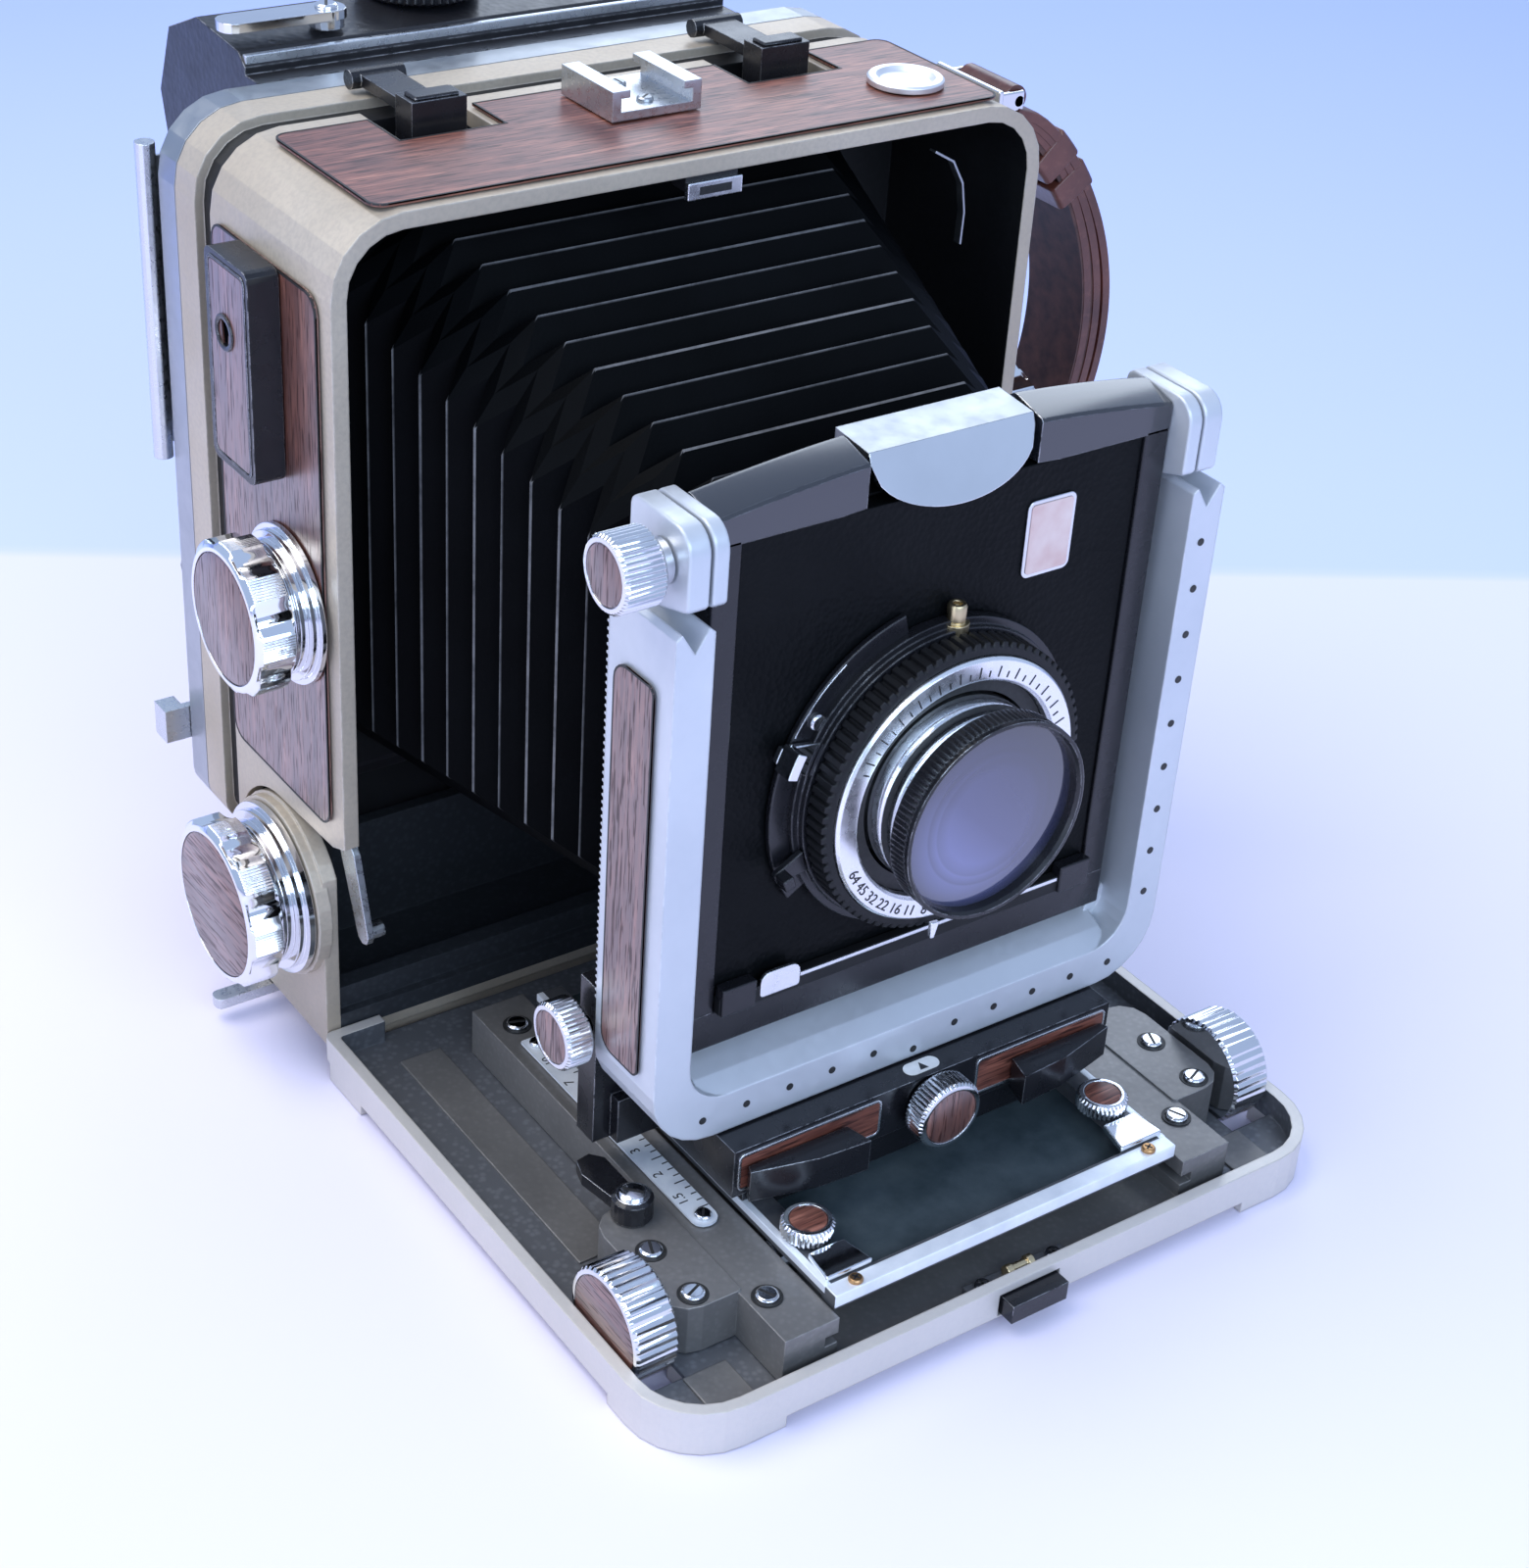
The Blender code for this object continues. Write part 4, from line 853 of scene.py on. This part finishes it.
def make_lens():
    def ring(name, profile, finish, body="lens_frame", steps=96, ripple=None, **options):
        piece(name, [turned("Y", LENS, profile, steps, closed=True, ripple=ripple)], finish, body, **options)

    def lever(name, body, angle, inner, outer, wide, y, thick, finish, slot=None):
        near = arc(LENS, inner, angle - wide, angle + wide, 3)
        far = arc(LENS, outer, angle + wide * 0.35, angle - wide * 0.35, 3)
        piece(name, [prism("Y", near + far, y, y - thick)], finish, body, replaces=[body], slot=slot,
              bevel=0.25)

    def open_ribs(angle, row):
        return -0.75 if row in (1, 2) and math.cos(angle * 84) <= -0.1 else 0

    flange = [(-119.9, 20.0), (-119.9, 32.4), (-121.2, 32.5), (-122.6, 32.5), (-122.6, 31.0), (-124.0, 31.0),
              (-124.0, 27.9), (-126.5, 27.9), (-126.5, 20.0)]
    ring("shutter_body", flange, "black", replaces=["shutter_case"], bevel=0.2)

    speed = [(-124.3, 28.0), (-124.3, 30.4), (-129.0, 30.4), (-129.4, 29.4), (-129.4, 28.0)]
    ring("speed_ring_ribbed", speed, "black_satin", "speed_ring", 84 * 8, open_ribs, replaces=["speed_ring"],
         angle=28)
    face = [(-126.6, 22.9), (-126.6, 27.9), (-130.0, 27.9), (-130.55, 27.4), (-130.55, 23.5), (-129.9, 22.9)]
    ring("shutter_face", face, "bright", bevel=0.1)
    inner = [(-126.0, 19.9), (-126.0, 22.8), (-127.9, 22.8), (-127.9, 19.9)]
    ring("shutter_well", inner, "ink")
    barrel = [(-98.0, 14.7), (-98.0, 16.5), (-120.2, 16.5), (-120.2, 19.3), (-131.6, 19.3), (-132.1, 19.0),
              (-132.6, 19.3), (-136.4, 19.3), (-136.4, 17.0)]
    ring("lens_tube", barrel, "mirror", replaces=["lens_barrel"], bevel=0.1)
    rim = [(-136.5, 17.0), (-136.5, 20.0), (-137.1, 20.75), (-138.6, 20.8), (-141.0, 20.8), (-141.4, 20.85),
           (-142.4, 20.75), (-142.45, 20.0), (-141.7, 19.5), (-138.2, 19.2), (-137.6, 18.0), (-137.2, 17.0)]
    ring("filter_ring", rim, "black", steps=110 * 6, ripple=fine_ribs(110, 0.3, (3, 4)), angle=28)
    cone = []
    for i in range(9):
        radius = 18.6 - i * 0.42
        along = -137.9 + i * 0.30
        cone += [(along, radius), (along + 0.30, radius - 0.10)]
    cone += [(-135.0, 14.7), (-134.6, 14.7), (-134.6, 19.1), (-137.2, 19.1)]
    ring("lens_name_ring", cone, "black_satin", angle=50)
    glass = [(-137.2, 0), (-137.15, 3), (-136.9, 7), (-136.5, 10), (-135.6, 14.6), (-134.7, 14.6),
             (-134.7, 0)]
    piece("lens_glass", [turned("Y", LENS, glass, 64)], "glass", "lens_frame", replaces=["front_glass"],
          angle=60)
    cover = [(-139.3, 0), (-139.3, 19.4), (-140.0, 19.4), (-140.5, 12.0), (-140.7, 0)]
    piece("filter_glass", [turned("Y", LENS, cover, 96)], "glass", "lens_frame", angle=60)

    # numbers of the aperture scale round the lower left of the face ring, and marks round its upper half
    scale_radius = 25.7
    for i, words in enumerate(("64", "45", "32", "22", "16", "11", "8", "6.3")):
        a = math.radians(207 + i * 8.6)
        spot = (scale_radius * math.cos(a), -130.58, LENS_HEIGHT + scale_radius * math.sin(a))
        number("aperture_number_%d" % (i + 1), "lens_frame", words, 3.1, spot,
               Euler((math.pi / 2, -(a + math.pi / 2), 0)))
    for i in range(26):
        a = math.radians(20 + i * 5.4)
        tick = block((-0.12, 0.12), (-130.65, -130.5), (0.0, 1.3 if i % 2 else 2.2))
        spin = Matrix.Translation((0, 0, LENS_HEIGHT)) @ Matrix.Rotation(a - math.pi / 2, 4, (0, -1, 0))
        spin = spin @ Matrix.Translation((0, 0, 24.0))
        piece("face_tick_%d" % (i + 1), [moved(tick, spin)], "ink", "lens_frame")
    socket = [(131.0, 0), (131.0, 2.6), (133.2, 2.6), (133.2, 1.8), (136.4, 1.9), (137.0, 1.6), (137.0, 0.9),
              (136.0, 0.8), (136.0, 0)]
    piece("cable_socket", [turned("Z", (2.4, -121.9), socket, 32)], "brass", "lens_frame", bevel=0.1)
    lever("cocking_arm", "cocking_lever", 158, 31.2, 39.6, 6.5, -121.6, 1.4, "chrome")
    tab = arc(LENS, 37.4, 154, 162, 3) + arc(LENS, 39.6, 162, 154, 3)
    piece("cocking_tab", [prism("Y", tab, -122.9, -127.5)], "chrome", "cocking_lever", bevel=0.3)
    lever("release_arm", "release_lever", 198, 31.2, 38.0, 4.5, -122.6, 1.4, "black")
    tab = arc(LENS, 35.6, 196, 200, 3) + arc(LENS, 38.0, 200, 196, 3)
    piece("release_tab", [prism("Y", tab, -123.9, -127.0)], "black", "release_lever", bevel=0.3)
    lever("aperture_pointer", "aperture_lever", 264, 28.3, 32.0, 2.2, -130.95, 1.0, "bright", "scale_silver")
    case = arc(LENS, 36.6, 104, 212, 22) + arc(LENS, 30.0, 212, 104, 22)
    piece("shutter_shoulder", [prism("Y", case, -119.9, -121.3)], "black", "lens_frame", bevel=0.3)
    # painted highlight: a thin chrome arc on the shoulder's outer rim stands for light caught along that edge
    line = arc(LENS, 36.3, 127, 153, 10) + arc(LENS, 35.9, 153, 127, 10)
    piece("shutter_shoulder_highlight", [prism("Y", line, -121.2, -121.45)], "chrome", "lens_frame")
    spot = arc(LENS, 33.3, 146, 146, 1)[0]
    screw("shutter_screw", "lens_frame", spot[0], -121.3, spot[1], 1.7, "Y", turn=0.9, outwards=-1)


make_lens()

# blank plate where the board carries a badge
badge = rounded((18.8, 136.5), (30.4, 152.5), 1.6, 6)
piece("badge_rim", [prism("Y", badge, -119.55, -120.0)], "chrome", "lens_frame", bevel=0.15)
piece("badge_face", [prism("Y", inset(badge, 0.8), -120.0, -120.2)], "badge", "lens_frame", bevel=0.08)


# ---- rear body details ----

def outline_round(name, axis, outline, face, outwards, body):
    """A dark scribed line round a veneer, just inside its outline."""
    low, high = sorted((face - outwards * 0.3, face + outwards * 0.06))
    piece(name, [band(axis, outline, inset(outline, 0.45), low, high)], "ink", body)


def make_body_details():
    corner_steps = 5
    top = rounded((-72, -38.6), (72, 2.4), 3, corner_steps)
    after_third = 3 * (corner_steps + 1)
    top = top[:after_third] + [(51.4, 2.4), (51.4, -10.4), (28.6, -10.4), (28.6, 2.4), (-28.6, 2.4),
                               (-28.6, -10.4), (-51.4, -10.4), (-51.4, 2.4)] + top[after_third:]
    outline_round("veneer_top_line", "Z", top, 196.45, 1, "back")
    shell_side = 83.2
    side_outline = rounded((-36.8, 66.0), (6.5, 180.5), 4, corner_steps)
    for label, side in SIDES.items():
        outline_round("veneer_line_" + label, "X", side_outline, side * shell_side, side, "back")
    frame_line = [(-57.5, 59.7), (57.5, 59.7), (57.5, 178.3), (-57.5, 178.3)]
    piece("gate_lining", [band("Y", frame_line, inset(frame_line, 1.2), 5.0, 8.4)], "black_satin", "back")

    piece("gate_sill", [block((-78.4, 78.4), (7.7, 8.5), (33.6, 60.0))], "black_satin", "back")

    # catch for the folded bed, under the hood's lip
    piece("hood_catch", [block((-6.0, 6.6), (-41.0, -39.4), (187.2, 190.8))], "bright", "back", bevel=0.3)
    piece("hood_catch_slot", [block((-3.4, 4.0), (-41.06, -40.4), (188.2, 189.8))], "ink", "back")
    spring = [(66.0, 165.0), (66.2, 172.0), (65.0, 178.5), (62.0, 183.6), (57.0, 186.4)]
    spring = [(x, -36.5, z) for x, z in spring]
    section = [(-1.0, -0.25), (1.0, -0.25), (1.0, 0.25), (-1.0, 0.25)]
    piece("hood_spring", [sweep(spring, section)], "steel", "back")

    # grip block: wood panel in a worn frame, with a threaded socket
    panel = rounded((-21.3, 140.0), (-7.2, 179.0), 1.2, 6)
    eye = Vector((-13, 166))
    ring = [tuple(eye + (Vector(point) - eye).normalized() * 3.4) for point in panel]
    piece("grip_panel", [band("X", panel, ring, -90.05, -89.7)], "wood_Z", "back", bevel=0.05)
    frame_ring = rounded((-22.0, 139.2), (-6.4, 179.8), 1.7, 6)
    piece("grip_panel_rim", [band("X", frame_ring, inset(frame_ring, 0.55), -90.12, -89.8)], "black", "back")
    socket = [(-88.2, 2.6), (-90.4, 2.6), (-90.5, 2.8), (-90.5, 3.5), (-90.3, 3.7), (-88.2, 3.15)]
    piece("grip_socket", [turned("X", tuple(eye), socket, 36, closed=True)], "black", "back")

    # round level and accessory shoe
    level = [(196.82, 0), (196.82, 8.0), (197.9, 8.05), (198.3, 7.6), (198.3, 6.2), (197.6, 5.6),
             (197.3, 5.2), (197.5, 3.4), (197.35, 0)]
    piece("level_dish", [turned("Z", (58.0, -24.3), level, 72)], "disc", "back", replaces=["level_disc"],
          angle=30)
    for i, y in enumerate((-15.6, -5.6)):
        screw("shoe_screw_%d" % (i + 1), "back", 0, y, 198.55, 1.7, finish="steel", turn=0.6 + i)
    for i, x in enumerate((-80.4, 80.4)):
        screw("hood_screw_%d" % (i + 1), "back", x, -40.15, 118, 1.1, "Y", "steel", outwards=-1)

    # top latches: a black floor in each seat, and bright worn ends on the black clips
    for label, side in SIDES.items():
        piece("latch_seat_" + label, [block((side * 29.9, side * 50.1), (-9.1, 8.4), (188.0, 188.6))], "ink",
              "back")
        piece("latch_ridge_" + label, [block((side * 35.6, side * 45.4), (-5.2, -0.6), (201.3, 202.2))],
              "black", "latch_" + label, bevel=0.5)
        piece("latch_edge_" + label, [block((side * 35.2, side * 45.8), (-6.25, -5.9), (190.4, 191.4))],
              "bright", "latch_" + label)

    # roll-film holder: wind knob, lever pivot and silver trim
    wind = (-10, 58)
    knob = [(201.35, 0), (201.35, 12.2), (201.9, 12.95), (208.4, 12.95), (209.1, 12.3), (209.4, 11.4),
            (209.0, 10.6), (208.6, 0)]
    piece("wind_knob_ribbed", [turned("Z", wind, knob, 46 * 6, ripple=fine_ribs(46, 0.6, (2, 3)))], "black",
          "wind", replaces=["wind_knob"], angle=28)
    disc = [(208.5, 0), (208.5, 7.0), (208.9, 7.0), (209.1, 6.4), (209.1, 0)]
    piece("wind_knob_disc", [turned("Z", wind, disc, 48)], "bright", "wind")
    arrow = [(-4, -0.8), (1, -0.8), (1, -2.4), (4.4, 0), (1, 2.4), (1, 0.8), (-4, 0.8)]
    arrow = [(wind[0] + u, wind[1] + v) for u, v in arrow]
    piece("wind_knob_arrow", [prism("Z", arrow, 209.05, 209.2)], "ink", "wind")
    screw("wind_lever_screw", "wind_arm", -38, 45.5, 204.5, 2.4, turn=1.1)
    piece("holder_trim", [block((-59.6, 54.6), (38.5, 40.0), (196.6, 199.2))], "silver", "back", bevel=0.3)
    for i, x in enumerate((-52, -20, 20, 48)):
        screw("holder_screw_%d" % (i + 1), "back", x, 79.0, 177.0, 1.6, "Y", "steel", cross=True)
    eye, window = (-10, 114), [(40.9, 0), (40.9, 7.0), (42.0, 7.0), (42.4, 6.4), (42.4, 4.4), (41.4, 4.2),
                               (41.4, 0)]
    piece("holder_window", [turned("Y", eye, window, 48)], "black", "back", bevel=0.1)
    piece("holder_window_glass", [turned("Y", eye, [(41.4, 0), (41.7, 4.0), (41.3, 4.1), (41.3, 0)], 40)],
          "glass", "back")
    rib_pitch = 1.8
    for i in range(9):
        height = 66 + i * rib_pitch
        piece("holder_grip_rib_%d" % (i + 1), [block((-54, 42), (79.0, 79.9), (height, height + 0.9))],
              "black", "back", bevel=0.2)


# ---- hand strap ----

def strap_path(lower, upper, reach, steps):
    """A bow in X between two heights, from the body's side out to reach."""
    root_x, middle_y = 90.5, -14.0
    path = []
    for i in range(steps + 1):
        part = i / steps
        swell = math.sin(math.pi * part) ** 0.62 if 0 < part < 1 else 0.0
        path.append((root_x + (reach - root_x) * swell, middle_y, lower + (upper - lower) * part))
    return path


def make_strap():
    wide, thick, pin_x = 9.9, 2.3, 90.2
    low_end, high_end, outer_reach = 74.5, 186.5, 124.6
    layers = ((outer_reach, 0.0), (121.9, 0.15), (119.2, 0.3))
    for i, (reach, less) in enumerate(layers):
        w = wide - less
        section = [(-w, -thick), (-w + 0.5, -thick - 0.15), (w - 0.5, -thick - 0.15), (w, -thick), (w, -0.3),
                   (w - 0.5, 0.0), (-w + 0.5, 0.0), (-w, -0.3)]
        shape = sweep(strap_path(low_end + i * 1.2, high_end - i * 1.2, reach, 60), section)
        piece("strap_layer_%d" % (i + 1), [shape], "leather", "back", angle=40,
              replaces=["hand_strap"] if i == 0 else ())
    path = strap_path(low_end, high_end, outer_reach, 240)
    for label, across in (("front", -8.3), ("rear", 8.3)):
        stitches = []
        for i in range(14, 224, 3):
            (x0, y0, z0), (x1, y1, z1) = path[i], path[i + 2]
            out = Vector((z1 - z0, 0, -(x1 - x0))).normalized() * 0.16
            start, end = Vector((x0, y0 + across, z0)) + out, Vector((x1, y1 + across, z1)) + out
            half = Vector((0, 0.28, 0))
            corners = [start - half, start + half, end + half, end - half]
            stitches.append(loft([[tuple(c - out * 2) for c in corners], [tuple(c) for c in corners]]))
        piece("strap_stitches_" + label, stitches, "thread", "back")
    edge = sweep(strap_path(76, 185, 120.8, 60), [(-9.5, -4.4), (9.5, -4.4), (9.5, 0.4), (-9.5, 0.4)])
    piece("strap_core", [edge], "leather_edge", "back", angle=40)

    # folded keeper near the top, and the ends looped round the lugs' pins
    middle = strap_path(low_end, high_end, outer_reach, 60)
    keeper = [(-10.0, -8.6), (-9.2, -9.4), (9.2, -9.4), (10.0, -8.6), (10.0, 0.3), (9.2, 1.0), (-9.2, 1.0),
              (-10.0, 0.3)]
    for i, (first, last) in enumerate(((49, 52), (53, 56))):
        piece("strap_keeper_%d" % (i + 1), [sweep(middle[first:last + 1], keeper)], "leather", "back",
              bevel=0.5, angle=40)
    for label, height in (("lower", 73.0), ("upper", 188.0)):
        loop = arc((pin_x, height), 3.1, 0, 360, 30)[:-1]
        inner = arc((pin_x, height), 1.5, 0, 360, 30)[:-1]
        piece("strap_loop_" + label, [band("Y", loop, inner, -22.2, -5.8)], "leather", "back", bevel=0.2)
        piece("strap_pin_" + label, [rod("Y", (pin_x, height), 1.4, -23.6, -4.4, 24)], "chrome", "back",
              bevel=0.2)
        ears = [block((83.3, 91.6), (-23.6, -22.4), (height - 2.2, height + 2.2)),
                block((83.3, 91.6), (-5.6, -4.4), (height - 2.2, height + 2.2)),
                block((83.25, 84.6), (-25.0, -3.0), (height - 3.4, height + 3.4))]
        piece("strap_lug_" + label, ears, "chrome", "back", bevel=0.4)


# ---- bed, track and beam details ----

def make_bed_details():
    spots = [(63.8, -144.2, 16.75), (64.2, -130.2, 16.75), (52.0, -151.8, 16.5), (50.2, -56.0, 16.5)]
    for i, (x, y, z) in enumerate(spots):
        for label, side in SIDES.items():
            screw("bed_screw_%s_%d" % (label, i + 1), "bed", side * x, y, z, 2.35, turn=0.4 + i * 0.8)
            rim = [(z - 0.5, 2.45), (z - 0.5, 3.1), (z + 0.12, 3.1), (z + 0.12, 2.45)]
            rim = turned("Z", (side * x, y), rim, 32, closed=True)
            piece("bed_screw_rim_%s_%d" % (label, i + 1), [rim], "ink", "bed")
    for label, side in SIDES.items():
        across = (side * 61.2, side * 71.0)
        ribs = [block(across, along, (4.9, 5.5)) for along in ((-115.6, -42.3), (-165.0, -152.5))]
        piece("tray_rib_" + label, ribs, "rail", "bed", bevel=0.2)
    ticks, tick_pitch = [], 2.1
    for i in range(29):
        y = -125.0 + i * tick_pitch
        long = 1.3 if i % 4 else 2.4
        ticks.append(block((-47.5 - long, -47.5), (y - 0.13, y + 0.13), (17.1, 17.22)))
    piece("scale_ticks", ticks, "ink", "bed")
    for i, words in enumerate(("1.5", "2", "3", "4", "5", "7", "10")):
        number("scale_number_%d" % (i + 1), "bed", words, 2.9, (-51.2, -121.0 + i * 4 * tick_pitch, 17.16),
               Euler((0, 0, math.pi / 2)))
    screw("scale_screw", "bed", -50.2, -127.2, 17.1, 1.8, turn=0.9)
    screw("scale_screw_rear", "bed", -50.2, -64.4, 17.1, 1.8, turn=0.2)
    for label, side in SIDES.items():
        screw("pin_screw_" + label, "bed", side * 9.0, -164.6, 8.4, 1.9, cross=True, turn=0.4)
    piece("pin_plate", [block((-12.5, 12.5), (-167.0, -162.6), (5.0, 8.5))], "hammered", "bed", bevel=0.3)
    pin = [(-3.4, 0), (-3.4, 1.3), (-1.8, 1.3), (-1.8, 1.0), (1.8, 1.0), (1.8, 1.5), (3.2, 1.5), (3.2, 0)]
    piece("spring_pin", [turned("X", (-164.6, 9.6), pin, 28)], "brass", "bed", bevel=0.1)
    cap, pivot = [(21.6, 0), (21.6, 3.4), (22.1, 3.4), (22.1, 0)], (-61.7, -119.5)
    piece("track_lock_lever_cap", [turned("Z", pivot, cap, 32)], "chrome", "track_lock", bevel=0.1)
    screw("track_lock_screw", "track_lock", *pivot, 22.05, 2.7, turn=2.3)

    # latch button with worn bright edges
    rim = rounded((-6.9, 3.6), (6.9, 7.8), 1.2, 4)
    piece("latch_button_rim", [band("Y", rim, inset(rim, 0.5), -171.98, -171.7)], "bright", "bed_button")

    # the track's bright nose and edges, its clips and their screws
    piece("track_nose", [block((-42.95, 42.95), (-161.15, -157.6), (16.4, 19.42))], "nose", "track",
          bevel=0.2)
    for label, side in SIDES.items():
        piece("track_edge_" + label, [block((side * 41.5, side * 43.06), (-157.8, -52), (17.6, 19.42))],
              "nose", "track", bevel=0.15)
        clip = [(31.4, -157.2), (42.4, -157.2), (41.4, -149.7), (33.0, -149.7)]
        piece("track_clip_" + label, [prism("Z", [(side * x, y) for x, y in clip], 19.3, 20.75)], "mirror",
              "track", bevel=0.35)
        screw("track_screw_" + label, "track", side * 37.0, -159.3, 19.4, 1.5, finish="bronze", cross=True)
    piece("track_floor_sheen", [block((-36.8, 36.8), (-157.0, -52.2), (15.4, 15.62))], "floor", "track")

    # inlays, outlines and index plate on the swing beam
    for label, side in SIDES.items():
        low, high = sorted((side * 12.0, side * 46.3))
        strip = rounded((low, 25.2), (high, 34.2), 1.4, 5)
        piece("beam_inlay_" + label, [prism("Y", inset(strip, 0.5), -132.5, -132.2)], "wood_X", "swing")
        piece("beam_inlay_rim_" + label, [band("Y", strip, inset(strip, 0.55), -132.58, -132.2)], "bright",
              "swing")
    plate = rounded((-4.2, -131.0), (4.2, -127.4), 1.8, 5)
    piece("index_plate", [prism("Z", plate, 35.25, 35.55)], "white", "swing", bevel=0.08)
    piece("index_mark", [prism("Z", [(-1.0, -130.4), (1.0, -130.4), (0, -128.2)], 35.5, 35.6)], "ink",
          "swing")
    for label, side in SIDES.items():
        screw("beam_screw_" + label, "swing", side * 30, -111.5, 35.25, 1.7, finish="steel", turn=1.2)


# ---- rising frame details ----

def make_frame_details():
    spacing = 10.2
    marks = [(i * spacing, 40.5 if i else 37.7) for i in range(-5, 6)]
    marks += [(58.4, 56.0 + i * spacing) for i in range(9)]
    dots = [peg("Y", mark, 0.8, -126.1, -126.32, 20) for mark in marks]
    piece("shift_marks", dots, "ink", "rise")
    teeth, tooth_pitch = [], 1.57
    for i in range(56):
        z = 60.0 + i * tooth_pitch
        teeth.append(prism("X", [(-105.45, z), (-104.45, z + 0.35), (-104.45, z + 0.75), (-105.45, z + 1.1)],
                           -62.3, -59.2))
    piece("rise_rack", teeth, "cast", "rise")
    outline = rounded((-121.2, 52), (-108.3, 137), (2, 4, 4, 2), 5)
    for label, side in SIDES.items():
        outline_round("leg_inlay_line_" + label, "X", outline, side * 63.2, side, "rise")
    for label, side in SIDES.items():
        screw("post_screw_" + label, "shift", side * 58.5, -102.0, 61.8, 1.6, finish="steel")


make_body_details()
make_strap()
make_bed_details()
make_frame_details()


# ---- floor, light and camera ----

def make_stage():
    """One large plane, coloured as a pale table top near the object and as a blue backdrop further away."""
    made = Finish("studio_floor", (0.84, 0.87, 0.92), 0.65, Specular_IOR_Level=0.2)
    x, y, _ = made.split()
    away = made.math("ADD", made.math("MULTIPLY", x, 0.505), made.math("MULTIPLY", y, 0.863))
    table_ends, backdrop_starts = 0.1665, 0.1685
    made.set("Base Color", made.ramp(away, (0.0, (0.75, 0.70, 0.83)), (table_ends, (0.72, 0.70, 0.85)),
                                     (backdrop_starts, (0.56, 0.62, 0.94)), (0.85, (0.38, 0.47, 0.92)),
                                     (1.0, (0.42, 0.51, 0.93))))
    half = 5.0
    mesh = bpy.data.meshes.new("floor")
    mesh.from_pydata([(-half, -half, 0), (half, -half, 0), (half, half, 0), (-half, half, 0)], [],
                     [(0, 1, 2, 3)])
    floor = bpy.data.objects.new("floor", mesh)
    mesh.materials.append(made.material)
    scene.collection.objects.link(floor)
    floor.location = (0, 0, -0.0002)


def make_light(name, location, target, size, power, colour):
    data = bpy.data.lights.new(name, "AREA")
    data.shape = "RECTANGLE"
    data.size, data.size_y = size
    data.energy = power
    data.color = colour
    light = bpy.data.objects.new(name, data)
    light.location = location
    light.rotation_euler = (Vector(target) - Vector(location)).to_track_quat("-Z", "Y").to_euler()
    scene.collection.objects.link(light)


def make_camera():
    azimuth, elevation, roll = math.radians(-37.03), math.radians(32.44), math.radians(4.12)
    back = Vector((math.sin(azimuth) * math.cos(elevation), -math.cos(azimuth) * math.cos(elevation),
                   math.sin(elevation)))
    level = Vector((-back.y, back.x, 0)).normalized()
    upright = back.cross(level)
    right = level * math.cos(roll) + upright * math.sin(roll)
    up = back.cross(right)
    data = bpy.data.cameras.new("camera")
    data.lens = 62.85
    data.sensor_width = 36.0
    data.clip_start = 0.01
    camera = bpy.data.objects.new("camera", data)
    turn = Matrix((right, up, back)).transposed().to_4x4()
    camera.matrix_world = Matrix.Translation(Vector((-289.6, -454.4, 375.3)) * MM) @ turn
    scene.collection.objects.link(camera)
    scene.camera = camera


make_stage()
make_light("key", (-0.55, 0.25, 1.15), (0, -0.05, 0.08), (0.9, 0.9), 12.0, (1.0, 0.97, 0.94))
make_light("front", (-0.2, -1.2, 0.75), (0, -0.1, 0.08), (1.2, 0.6), 12.0, (0.62, 0.78, 1.0))
make_light("side", (-1.2, -0.4, 0.35), (0, -0.05, 0.08), (0.7, 0.7), 3.2, (0.72, 0.84, 1.0))
make_light("rear", (0.9, 0.9, 0.9), (0, 0, 0.1), (0.8, 0.8), 5.0, (0.82, 0.9, 1.0))
make_camera()

world = bpy.data.worlds.new("studio")
world.use_nodes = True
background = world.node_tree.nodes["Background"]
background.inputs["Color"].default_value = (0.52, 0.67, 1.0, 1.0)
background.inputs["Strength"].default_value = 0.85
scene.world = world
scene.view_settings.view_transform = "Standard"
